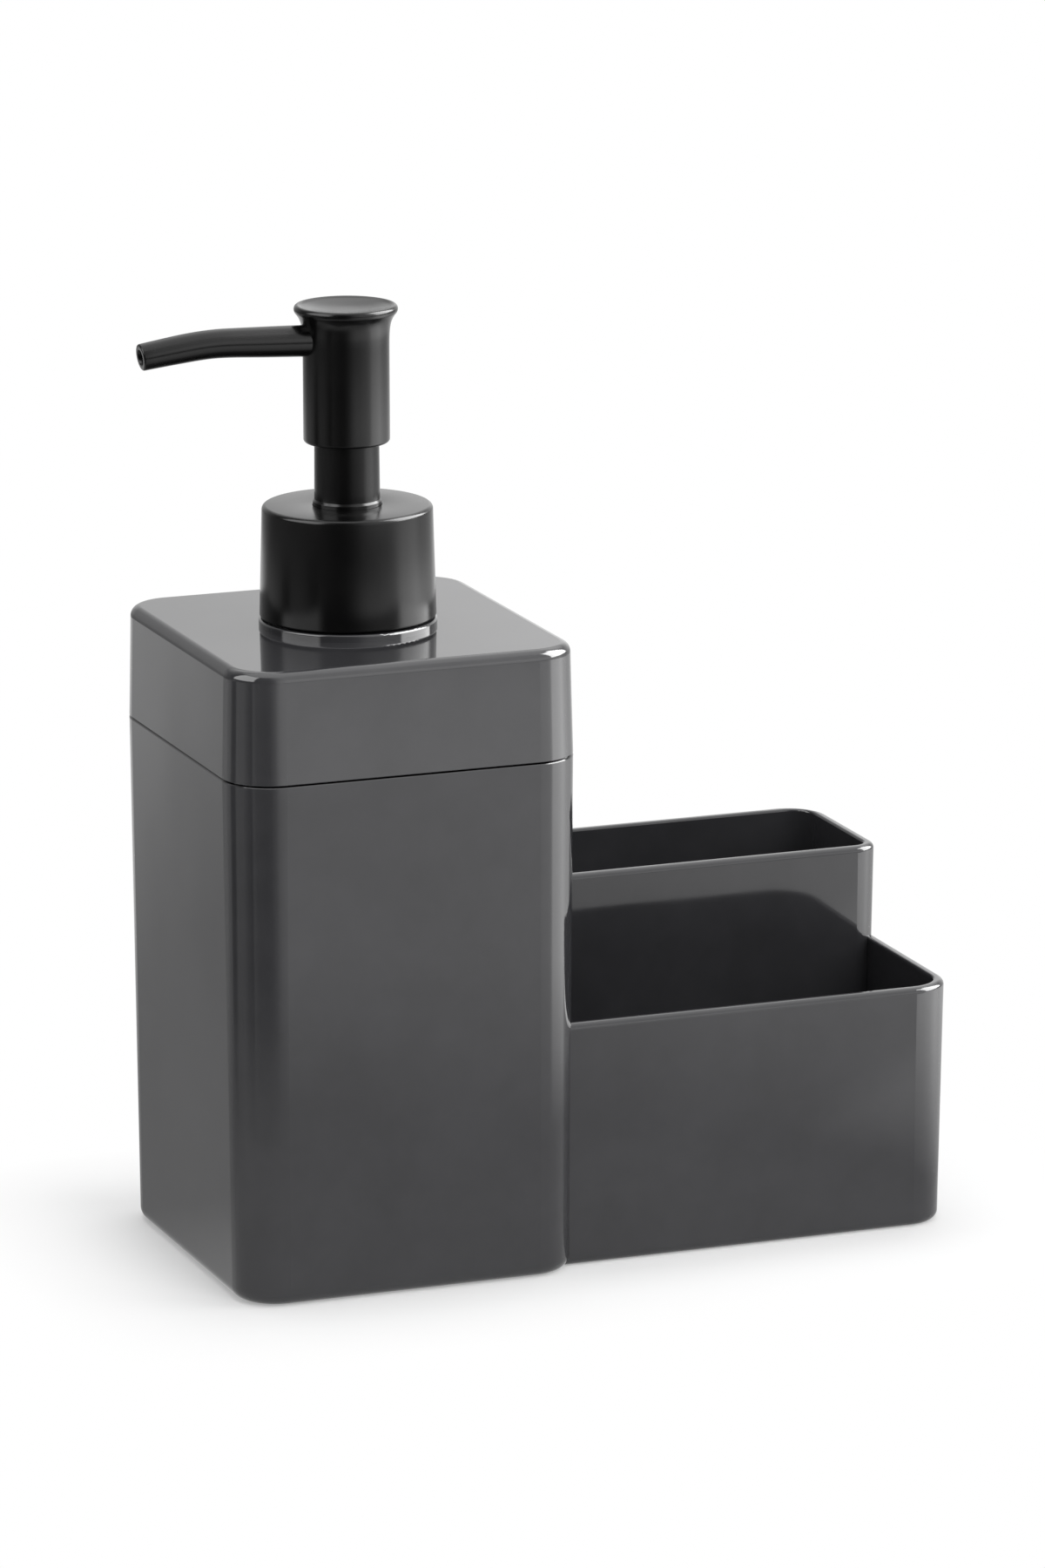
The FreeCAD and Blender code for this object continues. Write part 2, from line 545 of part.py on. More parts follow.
def make_lid():
    """The cover over the tub, with its plug lip, plinth and threaded neck."""
    cover = drafted_pad("lid_cover", "seam_height", "lid_top", BOTTLE_SIDES, "lid_draft_angle")
    soften(cover, "Fillet", "lid_round", edges_at(cover.Shape, value("lid_top")))
    soften(cover, "Chamfer", "seam_chamfer", edges_at(cover.Shape, value("seam_height")))
    lip = drafted_pad("lid_lip", "lip_low", "seam_height", (
        "lip_left", "lip_right", "lip_front", "lip_back", "lip_corner", "lip_corner"), "upright")
    under = drafted_pad("lid_space", "lip_top", "lid_ceiling", (
        "lid_inner_left", "lid_inner_right", "lid_inner_front", "lid_inner_back",
        "lid_inner_corner", "lid_inner_corner"), "upright")
    lip_space = drafted_pad("lip_space", "lip_low", "lip_top", (
        "lip_inner_left", "lip_inner_right", "lip_inner_front", "lip_inner_back",
        "lip_inner_corner", "lip_inner_corner"), "upright")
    shell = joined("Cut", "lid_shell", joined("Fuse", "lid_solid", cover, lip),
                   joined("Fuse", "lid_hollow", under, lip_space))
    opened = joined("Cut", "lid_opened", shell,
                    rod_between("lid_hole", "neck_bore", "lid_ceiling", "lid_top"))
    neck = turned("neck", [
        ("neck_bore", "lid_ceiling"), ("plinth_radius", "lid_ceiling"),
        ("plinth_radius", "plinth_top"), ("neck_radius", "plinth_top"),
        ("neck_radius", "neck_top"), ("neck_bore", "neck_top")])
    soften(neck, "Fillet", "plinth_round", ring_edges(neck.Shape, "plinth_radius", "plinth_top"))
    rib = thread_rib("neck_thread", value("neck_radius"), 1, value("neck_turns"),
                     value("thread_start"), 0)
    threaded = joined("Fuse", "threaded_neck", neck, rib)
    return joined("Fuse", "lid", opened, threaded)


def make_collar():
    """The smooth outer shell of the collar and the threaded ring pressed into it."""
    shell = turned("collar_shell", [
        ("collar_bore", "collar_low"), ("collar_radius", "collar_low"),
        ("collar_top_radius", "collar_top"), ("collar_hole", "collar_top"),
        ("collar_hole", "collar_ceiling"), ("collar_bore", "collar_ceiling")])
    soften(shell, "Fillet", "collar_round", ring_edges(shell.Shape, "collar_top_radius", "collar_top"))
    soften(shell, "Fillet", "collar_foot_round", ring_edges(shell.Shape, "collar_radius", "collar_low"))
    ring = turned("insert_ring", [
        ("insert_bore", "insert_low"), ("insert_radius", "insert_low"),
        ("insert_radius", "insert_ceiling"), ("insert_roof_radius", "insert_ceiling"),
        ("insert_roof_radius", "collar_ceiling"), ("insert_hole", "collar_ceiling"),
        ("insert_hole", "insert_ceiling"), ("insert_bore", "insert_ceiling")])
    for number in range(int(value("rib_count"))):
        rib = doc.addObject("Part::Box", f"insert_rib_{number}")
        rib.setExpression("Length", "Place.insert_roof_radius - Place.rib_root")
        rib.setExpression("Width", "Size.rib_thick")
        rib.setExpression("Height", "Place.insert_ceiling - Place.insert_low")
        turn = FreeCAD.Rotation(UPRIGHT, 360 * number / value("rib_count"))
        start = FreeCAD.Vector(value("rib_root"), -value("rib_thick") / 2, value("insert_low"))
        rib.Placement = FreeCAD.Placement(turn.multVec(start), turn)
        ring = joined("Fuse", f"insert_with_rib_{number}", ring, rib)
    spin = value("thread_lead_in")
    height = value("thread_start") - value("thread_offset") + value("thread_pitch") * spin / 360
    rib = thread_rib("insert_thread", value("insert_bore"), -1, value("insert_turns"), height, spin)
    return [shell, joined("Fuse", "collar_insert", ring, rib)]


def make_pump():
    """What the collar clamps on the neck: cylinder, gasket, chimney, dip tube and check ball."""
    tube = turned("cylinder_tube", [
        ("cylinder_bore", "cylinder_top"), ("cylinder_flange_radius", "cylinder_top"),
        ("cylinder_flange_radius", "cylinder_flange_low"),
        ("cylinder_radius", "cylinder_flange_low"), ("cylinder_radius", "cylinder_cone_top"),
        ("valve_body_radius", "throat_top"), ("valve_body_radius", "socket_low"),
        ("tube_socket", "socket_low"), ("tube_socket", "tube_top"), ("throat_radius", "tube_top"),
        ("throat_radius", "throat_top"), ("chamber_radius", "seat_top"),
        ("chamber_radius", "valve_lip_low"), ("valve_lip_radius", "valve_lip_low"),
        ("valve_lip_radius", "spring_seat"), ("cylinder_bore", "spring_seat")])
    vent = cross_hole("vent", "vent_radius", "cylinder_flange_radius", "vent_height")
    cylinder = joined("Cut", "cylinder", tube, vent)
    gasket = turned("neck_gasket", [
        ("gasket_bore", "neck_top"), ("cylinder_flange_radius", "neck_top"),
        ("cylinder_flange_radius", "cylinder_flange_low"), ("gasket_bore", "cylinder_flange_low")])
    chimney = turned("chimney", [
        ("stem_guide", "chimney_low"), ("sleeve_radius", "chimney_low"),
        ("sleeve_radius", "cylinder_top"), ("chimney_flange_radius", "cylinder_top"),
        ("chimney_flange_radius", "chimney_flange_top"),
        ("chimney_foot_radius", "chimney_flange_top"), ("chimney_foot_radius", "chimney_step_top"),
        ("chimney_radius", "chimney_slope_top"), ("chimney_tip_radius", "chimney_top"),
        ("chimney_bore", "chimney_top"), ("chimney_bore", "chimney_flange_top"),
        ("stem_guide", "chimney_flange_top")])
    straight = turned("straight_tube", [
        ("tube_bore", "tube_low"), ("tube_radius", "tube_low"), ("tube_radius", "tube_top"),
        ("tube_bore", "tube_top")])
    bevel = doc.addObject("Part::Box", "tube_bevel_block")
    for side in ("Length", "Width", "Height"):
        bevel.setExpression(side, "4 * Size.tube_radius")
    tilt = FreeCAD.Rotation(ACROSS, -value("tube_bevel"))
    corner = FreeCAD.Vector(0, -2 * value("tube_radius"), -4 * value("tube_radius"))
    toe = FreeCAD.Vector(-value("tube_radius"), 0, value("tube_low"))
    bevel.Placement = FreeCAD.Placement(toe + tilt.multVec(corner), tilt)
    dip_tube = joined("Cut", "dip_tube", straight, bevel)
    ball = doc.addObject("Part::Sphere", "check_ball")
    ball.setExpression("Radius", "Size.ball_radius")
    ball.setExpression("Placement.Base.z", "Place.ball_height")
    return [cylinder, gasket, chimney, dip_tube, ball]


def make_plunger():
    """Stem, piston rod, floating piston and return spring."""
    bare_stem = turned("bare_stem", [
        ("stem_bore", "stem_low"), ("stem_radius", "stem_low"), ("stem_radius", "shoulder_low"),
        ("shoulder_radius", "shoulder_low"), ("shoulder_radius", "shoulder_top"),
        ("stem_radius", "shoulder_top"), ("stem_radius", "head_ceiling"),
        ("stem_bore", "head_ceiling")])
    port = cross_hole("port", "port_radius", "cylinder_flange_radius", "port_height")
    stem = joined("Cut", "stem", bare_stem, port)
    foot = turned("rod_foot", [
        (None, "rod_pin_low"), ("rod_pin_radius", "rod_pin_low"),
        ("rod_pin_radius", "rod_flange_low"), ("rod_flange_radius", "rod_flange_low"),
        ("rod_flange_radius", "stem_low"), (None, "stem_low")])
    blade = doc.addObject("Part::Box", "rod_blade")
    blade.setExpression("Length", "Size.rod_blade_thick")
    blade.setExpression("Width", "2 * Place.blade_reach")
    blade.setExpression("Height", "Size.rod_blade_length")
    blade.setExpression("Placement.Base.x", "-Size.rod_blade_thick / 2")
    blade.setExpression("Placement.Base.y", "-Place.blade_reach")
    blade.setExpression("Placement.Base.z", "Place.stem_low")
    rod = joined("Fuse", "piston_rod", foot, blade)
    piston = turned("piston_seal", [
        ("stem_guide", "piston_top"), ("piston_radius", "piston_top"),
        ("piston_radius", "piston_upper_lip"), ("piston_waist", "piston_upper_lip"),
        ("piston_waist", "piston_lower_lip"), ("piston_radius", "piston_lower_lip"),
        ("piston_radius", "piston_low"), ("piston_recess", "piston_low"),
        ("piston_recess", "piston_recess_top"), ("stem_guide", "piston_recess_top")])
    path = arc_helix(value("spring_radius"), value("spring_pitch"), value("spring_turns"),
                     value("spring_arcs"))
    start = FreeCAD.Vector(value("spring_radius"), 0, 0)
    heading = FreeCAD.Vector(0, value("spring_radius"), value("spring_pitch") / (2 * math.pi))
    wire = Part.Wire(Part.Circle(start, heading, value("wire_radius")).toShape())
    coil = path.makePipeShell([wire], True, False)
    spring = fixed_shape("return_spring", coil, value("spring_low"))
    return [stem, rod, piston, spring]


def nozzle_run(label, stations):
    """A round loft along the nozzle, through stations of (reach, height, climb, radius) names."""
    sections = []
    for number, (reach, height, climb, radius) in enumerate(stations):
        circle = doc.addObject("Part::Circle", f"{label}_{number}")
        circle.Placement = FreeCAD.Placement(FreeCAD.Vector(), FreeCAD.Rotation(ACROSS, -90))
        circle.setExpression("Radius", bound(radius))
        if reach:
            circle.setExpression("Placement.Base.x", f"-{bound(reach)}")
        circle.setExpression("Placement.Base.z", bound(height))
        circle.setExpression("Placement.Rotation.Angle", f"-(90 - {bound(climb)})")
        sections.append(circle)
    run = doc.addObject("Part::Loft", label)
    run.Sections = sections
    run.Solid = True
    doc.recompute()
    return run


def make_head():
    """The push button: skirt, brim, dished top, socket for the stem and the nozzle."""
    button = turned("button", [
        ("skirt_bore", "skirt_low"), ("skirt_radius", "skirt_low"), ("skirt_radius", "brim_root"),
        ("brim_radius", "brim_low"), ("brim_radius", "brim_high"), ("crest_radius", "crest_top"),
        (None, "crest_top"), (None, "duct_height"), ("stem_bore", "duct_height"),
        ("stem_bore", "head_ceiling"), ("stem_socket", "head_ceiling"),
        ("stem_socket", "boss_low"), ("boss_radius", "boss_low"), ("boss_radius", "head_ceiling"),
        ("skirt_bore", "head_ceiling")])
    soften(button, "Fillet", "flare_round", ring_edges(button.Shape, "skirt_radius", "brim_root"))
    for radius, height in (("brim_radius", "brim_low"), ("brim_radius", "brim_high")):
        soften(button, "Fillet", "brim_round", ring_edges(button.Shape, radius, height))
    soften(button, "Fillet", "skirt_round", ring_edges(button.Shape, "skirt_radius", "skirt_low"))
    bowl = doc.addObject("Part::Sphere", "dish")
    bowl.setExpression("Radius", "Place.dish_curve")
    bowl.setExpression("Placement.Base.z", "Place.crest_top - Size.dish_depth + Place.dish_curve")
    doc.recompute()
    spout = nozzle_run("spout", [
        ("nozzle_root_reach", "duct_height", "nozzle_climb", "nozzle_root_radius"),
        ("nozzle_before", "nozzle_before_height", "nozzle_climb", "nozzle_before_radius"),
        ("nozzle_bend_reach", "nozzle_mid_height", "nozzle_mid_climb", "nozzle_bend_radius"),
        ("nozzle_after", "nozzle_after_height", "nozzle_end_climb", "nozzle_after_radius"),
        ("nozzle_reach", "nozzle_tip_height", "nozzle_end_climb", "nozzle_tip_radius")])
    duct = nozzle_run("duct", [
        (None, "nozzle_start_height", "nozzle_climb", "nozzle_bore"),
        ("nozzle_before", "nozzle_before_height", "nozzle_climb", "nozzle_bore"),
        ("nozzle_bend_reach", "nozzle_mid_height", "nozzle_mid_climb", "nozzle_bore"),
        ("nozzle_after", "nozzle_after_height", "nozzle_end_climb", "nozzle_bore"),
        ("bore_end", "bore_end_height", "nozzle_end_climb", "nozzle_bore")])
    dished = joined("Cut", "dished_button", button, bowl)
    return joined("Cut", "actuator_head", joined("Fuse", "head_solid", dished, spout), duct)


def check_and_export(pieces):
    """Stop on any failed object or bad solid, then write one STEP file for each piece."""
    doc.recompute()
    for item in doc.Objects:
        if "Invalid" in item.State or "Error" in item.State:
            raise RuntimeError(f"{item.Label} failed: {item.State}")
    for piece in pieces:
        shape = piece.Shape
        if shape.isNull() or not shape.isValid() or len(shape.Solids) != 1:
            raise RuntimeError(f"{piece.Label} is not one valid solid")
    os.makedirs("parts", exist_ok=True)
    for piece in pieces:
        piece.Shape.exportStep(f"parts/{piece.Label}.step")
        box = piece.Shape.BoundBox
        print(f"{piece.Label}: {piece.Shape.Volume:.1f} mm3, "
              f"z {box.ZMin:.2f} to {box.ZMax:.2f}, x {box.XMin:.2f} to {box.XMax:.2f}")


check_and_export([make_body(), make_lid(), *make_collar(), *make_pump(), *make_plunger(),
                  make_head()])
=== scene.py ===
# %% [markdown]
# A soap dispenser with a lotion pump, a low pocket for a sponge and a tall one for a brush.
# The imported CAD model comes first. It is the fixed frame of the scene: every piece made below
# sits on it and rides on one of its bodies.

# %% Load the imported model
import math

import bmesh
import bpy
from mathutils import Matrix, Vector


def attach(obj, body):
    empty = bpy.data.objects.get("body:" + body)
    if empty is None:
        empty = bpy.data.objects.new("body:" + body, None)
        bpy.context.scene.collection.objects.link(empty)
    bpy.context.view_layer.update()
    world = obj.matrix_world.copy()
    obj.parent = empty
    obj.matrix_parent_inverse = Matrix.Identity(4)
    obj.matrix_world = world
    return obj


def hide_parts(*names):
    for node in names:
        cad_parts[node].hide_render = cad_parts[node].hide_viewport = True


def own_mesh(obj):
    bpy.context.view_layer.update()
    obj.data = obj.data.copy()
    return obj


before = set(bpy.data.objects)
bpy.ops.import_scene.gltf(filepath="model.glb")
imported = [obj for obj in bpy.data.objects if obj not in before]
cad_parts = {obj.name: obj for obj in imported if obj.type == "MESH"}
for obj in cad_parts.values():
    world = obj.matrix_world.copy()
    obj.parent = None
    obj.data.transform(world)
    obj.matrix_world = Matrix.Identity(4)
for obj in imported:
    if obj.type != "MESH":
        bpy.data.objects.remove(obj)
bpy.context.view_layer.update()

# %% [markdown]
# A product photograph is taken with a long lens from some way off, which keeps the upright edges
# almost parallel. This camera stands a little to the left of the bottle's front and looks down
# by 14 degrees. Its place is written as a point and three directions: camera axes are easier to
# check against a picture than three angles are.

# %% Camera
camera = bpy.data.objects.new("camera", bpy.data.cameras.new("camera"))
bpy.context.collection.objects.link(camera)
camera_place = Vector((-0.577223, -1.621918, 0.526752))
camera_right = Vector((0.93425, -0.35660, -0.00242))
camera_up = Vector((0.08709, 0.22157, 0.97125))
camera_ahead = Vector((0.34581, 0.90760, -0.23806))
axes = Matrix((camera_right, camera_up, -camera_ahead)).transposed()
camera.matrix_world = Matrix.Translation(camera_place) @ axes.to_4x4()
camera.data.sensor_width = 36
camera.data.lens = 185
camera.data.clip_start, camera.data.clip_end = 0.05, 50
bpy.context.scene.camera = camera
print("camera looks down by", round(math.degrees(math.asin(-camera_ahead.z)), 1), "degrees")

# %% [markdown]
# Glossy plastic has little colour of its own: what the eye reads as its shape is the studio that
# it mirrors. A photographer therefore builds a bright side, a dark side and a white background
# round it. Here each belt of those surroundings, from the tabletop to the ceiling, is a node group
# that gives brightness by compass direction. The floor and the world use them, but only for
# reflected rays, so the camera still sees white.

# %% Surroundings as brightness by direction
def add_node(tree, kind, **settings):
    """A new node in a tree, with its plain settings made."""
    node = tree.nodes.new(kind)
    for name, setting in settings.items():
        setattr(node, name, setting)
    return node


def math_node(tree, operation, first, second=None):
    """The output of a math node. Each input is a socket or a number."""
    node = add_node(tree, "ShaderNodeMath", operation=operation)
    for slot, given in zip(node.inputs, (first, second)):
        if isinstance(given, bpy.types.NodeSocket):
            tree.links.new(given, slot)
        elif given is not None:
            slot.default_value = given
    return node.outputs[0]


def stops(ramp, places):
    """Give a colour ramp its grey stops, from (place, brightness) pairs."""
    elements = ramp.color_ramp.elements
    while len(elements) > 1:
        elements.remove(elements[-1])
    for number, (place, brightness) in enumerate(places):
        element = elements[0] if number == 0 else elements.new(place)
        element.position = place
        element.color = (brightness, brightness, brightness, 1)


def compass(degrees):
    """The ramp place of a direction, 0 in front of the bottle, 90 at its right, 180 behind."""
    return (degrees + 180) / 360


TABLE_AROUND = (
    (-180, 1.1), (-160.5, 1.0), (-157, 0.60), (-153.5, 0.52), (-146, 0.48), (-135, 0.66),
    (-124, 0.55), (-118, 0.48), (-113, 0.08), (-103, 0.06), (-98, 0.55), (-80, 0.50), (-70, 0.20),
    (-61, 0.02), (-57, 0.42), (-50, 0.20), (-30, 0.08), (-20, 0.14), (-10, 0.50), (-2, 1.1),
    (6, 1.5), (18, 1.6), (28, 1.8), (40, 2.0), (47, 2.2), (52, 4.4), (80, 4.4), (92, 2.6),
    (106, 1.5), (120, 1.0), (140, 1.1),
)
ROOM_AROUND = (
    (-180, 0.45), (-150, 0.28), (-138, 0.20), (-108, 0.35), (-66, 0.15), (-25, 0.04), (3, 0.08),
    (17, 0.16), (30, 0.45), (42, 0.8), (50, 1.7), (58, 2.2), (78, 2.2), (92, 1.1), (115, 0.7),
    (140, 0.9),
)
SKY_AROUND = (
    (-180, 0.7), (-150, 0.45), (-125, 0.12), (-60, 0.10), (-22, 0.05), (-8, 0.30), (5, 1.4),
    (20, 2.0), (45, 2.0), (56, 2.2), (80, 2.2), (96, 1.0), (112, 0.8), (135, 1.15), (150, 1.50),
    (157, 1.42), (162, 1.04), (170, 0.8),
)
HIGH_AROUND = (
    (-180, 1.5), (-150, 0.60), (-122, 0.15), (-56, 0.12), (-20, 0.12), (0, 0.9), (15, 1.5),
    (48, 1.5), (58, 2.2), (85, 2.2), (108, 0.8), (128, 2.0), (140, 2.2), (160, 1.9),
)
WINDOWS_AROUND = (
    (-116, 0), (-112, 4.7), (-58, 4.7), (-55, 0), (51, 0), (54, 15), (108, 15), (112, 0),
)


def surroundings(name, levels):
    """A node group that gives brightness by compass direction, from (degrees, level) pairs."""
    group = bpy.data.node_groups.new(name, "ShaderNodeTree")
    group.interface.new_socket("Direction", in_out="INPUT", socket_type="NodeSocketVector")
    group.interface.new_socket("Brightness", in_out="OUTPUT", socket_type="NodeSocketFloat")
    group_in, group_out = add_node(group, "NodeGroupInput"), add_node(group, "NodeGroupOutput")
    parts = add_node(group, "ShaderNodeSeparateXYZ")
    group.links.new(group_in.outputs["Direction"], parts.inputs[0])
    behind = math_node(group, "MULTIPLY", parts.outputs["Y"], -1)
    bearing = math_node(group, "ARCTAN2", parts.outputs["X"], behind)
    share = math_node(group, "ADD", math_node(group, "DIVIDE", bearing, 2 * math.pi), 0.5)
    brightest = max(level for _, level in levels)
    ramp = add_node(group, "ShaderNodeValToRGB")
    stops(ramp, [(compass(degrees), level / brightest) for degrees, level in levels])
    group.links.new(share, ramp.inputs["Fac"])
    brightness = math_node(group, "MULTIPLY", ramp.outputs["Color"], brightest)
    group.links.new(brightness, group_out.inputs["Brightness"])
    print(name, "has", len(levels), "stops")
    return group


def use_surroundings(tree, group, where):
    """The brightness of the surroundings in the direction that a socket gives."""
    node = add_node(tree, "ShaderNodeGroup", node_tree=group)
    tree.links.new(where, node.inputs["Direction"])
    return node.outputs["Brightness"]


def ramped(tree, source, places):
    """A grey ramp of a socket's value, as (place, brightness) pairs."""
    ramp = add_node(tree, "ShaderNodeValToRGB")
    stops(ramp, places)
    tree.links.new(source, ramp.inputs["Fac"])
    return ramp.outputs["Color"]


def ray_kinds(tree):
    """Two sockets: 1 for a ray from the camera, and 1 for one from a glossy or clear surface."""
    path = add_node(tree, "ShaderNodeLightPath")
    mirrored = math_node(tree, "MAXIMUM", path.outputs["Is Glossy Ray"],
                         path.outputs["Is Transmission Ray"])
    return path.outputs["Is Camera Ray"], mirrored


table_surroundings = surroundings("table_surroundings", TABLE_AROUND)
room_surroundings = surroundings("room_surroundings", ROOM_AROUND)
sky_surroundings = surroundings("sky_surroundings", SKY_AROUND)
high_surroundings = surroundings("high_surroundings", HIGH_AROUND)
windows = surroundings("windows", WINDOWS_AROUND)

# %% [markdown]
# The world has three jobs. The camera sees it plain white. A reflected ray sees the bright and
# dark sides, and a large soft light overhead: each belt fades in and out by the height of the
# ray's direction, which is 0 at the horizon and 1 straight up. All other rays get an even grey,
# which is the light that a white room gives back into the shadows.

# %% World
FILL = 0.55
OVERHEAD = 2.0
world = bpy.data.worlds.new("studio")
world.use_nodes = True
bpy.context.scene.world = world
tree = world.node_tree
sky = tree.nodes["Background"]
sky.inputs["Color"].default_value = (1, 1, 1, 1)
ray_way = add_node(tree, "ShaderNodeTexCoord").outputs["Generated"]
camera_ray, mirrored = ray_kinds(tree)
height = add_node(tree, "ShaderNodeSeparateXYZ")
tree.links.new(ray_way, height.inputs[0])
studio = None
for level, places in (
        (use_surroundings(tree, sky_surroundings, ray_way),
         [(0.0, 0.8), (0.08, 1.0), (0.30, 1.0), (0.42, 0.75), (0.62, 0.0)]),
        (use_surroundings(tree, high_surroundings, ray_way),
         [(0.42, 0.0), (0.62, 1.0), (0.80, 1.0), (0.90, 0.0)]),
        (use_surroundings(tree, windows, ray_way),
         [(0.14, 0.0), (0.18, 1.0), (0.82, 1.0), (0.86, 0.0)]),
        (OVERHEAD, [(0.80, 0.0), (0.90, 1.0)])):
    belt = math_node(tree, "MULTIPLY", ramped(tree, height.outputs["Z"], places), level)
    studio = math_node(tree, "ADD", studio, belt) if studio else belt
direct = math_node(tree, "MAXIMUM", camera_ray, mirrored)
fill = math_node(tree, "MULTIPLY", math_node(tree, "SUBTRACT", 1, direct), FILL)
reflected = math_node(tree, "MULTIPLY", mirrored, studio)
strength = math_node(tree, "ADD", camera_ray, math_node(tree, "ADD", reflected, fill))
tree.links.new(strength, sky.inputs["Strength"])
print("world is white for the camera, fill", FILL)

# %% [markdown]
# The floor is matt white, and a white floor under studio light is never quite white in a picture.
# So its material is a mix of matt paint and a plain glow. The next two cells say how bright the
# glow is, and where it takes over from the paint.

# %% Floor
FLOOR_WIDTH = 8
bpy.ops.mesh.primitive_grid_add(size=FLOOR_WIDTH, x_subdivisions=4, y_subdivisions=4)
floor = bpy.context.object
floor.name = "floor"
floor_white = bpy.data.materials.new("floor_white")
floor_white.use_nodes = True
tree = floor_white.node_tree
paint = tree.nodes["Principled BSDF"]
paint.inputs["Base Color"].default_value = (0.86, 0.86, 0.86, 1)
paint.inputs["Roughness"].default_value = 0.7
paint.inputs["Specular IOR Level"].default_value = 0.1
glow = add_node(tree, "ShaderNodeEmission")
blend = add_node(tree, "ShaderNodeMixShader")
wired = ((paint.outputs[0], blend.inputs[1]), (glow.outputs[0], blend.inputs[2]),
         (blend.outputs[0], tree.nodes["Material Output"].inputs["Surface"]))
for source, target in wired:
    tree.links.new(source, target)
print("floor is", round(floor.dimensions.x), "m wide")

# %% [markdown]
# Upright walls, seen from a little above, mirror the floor more than anything else. A reflected
# ray sees a soft glow close to the object, then the tabletop with its bright and its dark side,
# and beyond the table's edge the dimmer floor of the room.

# %% What reflections see of the floor
GLOW_IN_FRONT, GLOW_BEHIND = 0.75, 0.42
FRONT_TO_BACK = 0.04
GLOW_END, TABLE_START = 0.16, 0.30
TABLE_END, ROOM_START = 0.82, 0.89
spot = add_node(tree, "ShaderNodeTexCoord").outputs["Object"]
reach = add_node(tree, "ShaderNodeVectorMath", operation="LENGTH")
tree.links.new(spot, reach.inputs[0])
distance = reach.outputs["Value"]
side = add_node(tree, "ShaderNodeSeparateXYZ")
tree.links.new(spot, side.inputs[0])
near = add_node(tree, "ShaderNodeMapRange")
tree.links.new(side.outputs["Y"], near.inputs["Value"])
for slot, value in (("From Min", -FRONT_TO_BACK), ("From Max", FRONT_TO_BACK),
                    ("To Min", GLOW_IN_FRONT), ("To Max", GLOW_BEHIND)):
    near.inputs[slot].default_value = value
floor_glow = math_node(tree, "MULTIPLY", near.outputs["Result"],
                       ramped(tree, distance, [(GLOW_END, 1.0), (TABLE_START, 0.0)]))
for group, places in (
        (table_surroundings, [(GLOW_END, 0.0), (TABLE_START, 0.8), (0.58, 1.0), (TABLE_END, 1.0),
                              (ROOM_START, 0.0)]),
        (room_surroundings, [(TABLE_END, 0.0), (ROOM_START, 1.0)])):
    seen = use_surroundings(tree, group, spot)
    belt = math_node(tree, "MULTIPLY", seen, ramped(tree, distance, places))
    floor_glow = math_node(tree, "ADD", floor_glow, belt)
print("glow near the object:", GLOW_IN_FRONT, "in front,", GLOW_BEHIND, "behind")
print("the tabletop ends between", TABLE_END, "and", ROOM_START, "m from the middle")

# %% [markdown]
# The camera sees white glow everywhere but close to the object. There the paint comes through, and
# with it the contact shadow, without which the object would float. The distance to the object's
# footprint, a plain rectangle, says how much of each there is.

# %% Contact shadow
FOOTPRINT_MIDDLE, FOOTPRINT_HALF = (0.045, 0.003, 0), (0.085, 0.045, 1)
gap = spot
for operation, values in (
        ("SUBTRACT", FOOTPRINT_MIDDLE), ("ABSOLUTE", None), ("SUBTRACT", FOOTPRINT_HALF),
        ("MAXIMUM", (0, 0, 0)), ("LENGTH", None)):
    step = add_node(tree, "ShaderNodeVectorMath", operation=operation)
    tree.links.new(gap, step.inputs[0])
    if values:
        step.inputs[1].default_value = values
    gap = step.outputs["Value" if operation == "LENGTH" else "Vector"]
fade = ramped(tree, gap, [(0.0, 0.30), (0.02, 0.72), (0.04, 1.0)])
camera_ray, mirrored = ray_kinds(tree)
strength = math_node(tree, "ADD", camera_ray, math_node(tree, "MULTIPLY", mirrored, floor_glow))
tree.links.new(strength, glow.inputs["Strength"])
camera_share = math_node(tree, "MULTIPLY", camera_ray, fade)
tree.links.new(math_node(tree, "ADD", camera_share, mirrored), blend.inputs["Fac"])
floor.data.materials.append(floor_white)
print("footprint is", round(2 * FOOTPRINT_HALF[0], 3), "by", round(2 * FOOTPRINT_HALF[1], 3), "m")

# %% [markdown]
# Three large area lamps light the colour of the plastic, at a plain level. They are hidden from
# reflections, where the surroundings above stand in for them.

# %% Lamps
LAMP_AIM_HEIGHT = 0.12


def softbox(name, bearing, rise, distance, size, energy):
    """Put up a rectangular lamp by its compass direction and rise in degrees, aimed at the lid."""
    lamp = bpy.data.objects.new(name, bpy.data.lights.new(name, "AREA"))
    bpy.context.collection.objects.link(lamp)
    lamp.data.shape = "RECTANGLE"
    lamp.data.size, lamp.data.size_y = size
    lamp.data.energy = energy
    a, e = math.radians(bearing), math.radians(rise)
    aim = Vector((0, 0, LAMP_AIM_HEIGHT))
    arm = Vector((math.sin(a) * math.cos(e), -math.cos(a) * math.cos(e), math.sin(e)))
    lamp.location = aim + arm * distance
    lamp.rotation_euler = (-arm).to_track_quat("-Z", "Y").to_euler()
    lamp.visible_camera = False
    lamp.visible_glossy = False


softbox("right_softbox", bearing=64, rise=30, distance=1.1, size=(0.5, 0.8), energy=3.7)
softbox("front_softbox", bearing=18, rise=34, distance=1.3, size=(0.6, 0.5), energy=4.2)
softbox("top_softbox", bearing=160, rise=80, distance=1.0, size=(0.8, 0.6), energy=5.5)

# %% [markdown]
# Every finish below is made of the same few things: a cloudy noise that moves the colour a
# little, another that moves the roughness, and a fine relief. These helpers make them once. All
# read Object coordinates, in metres, so a scale of 100 means one cloud in about 10 mm.

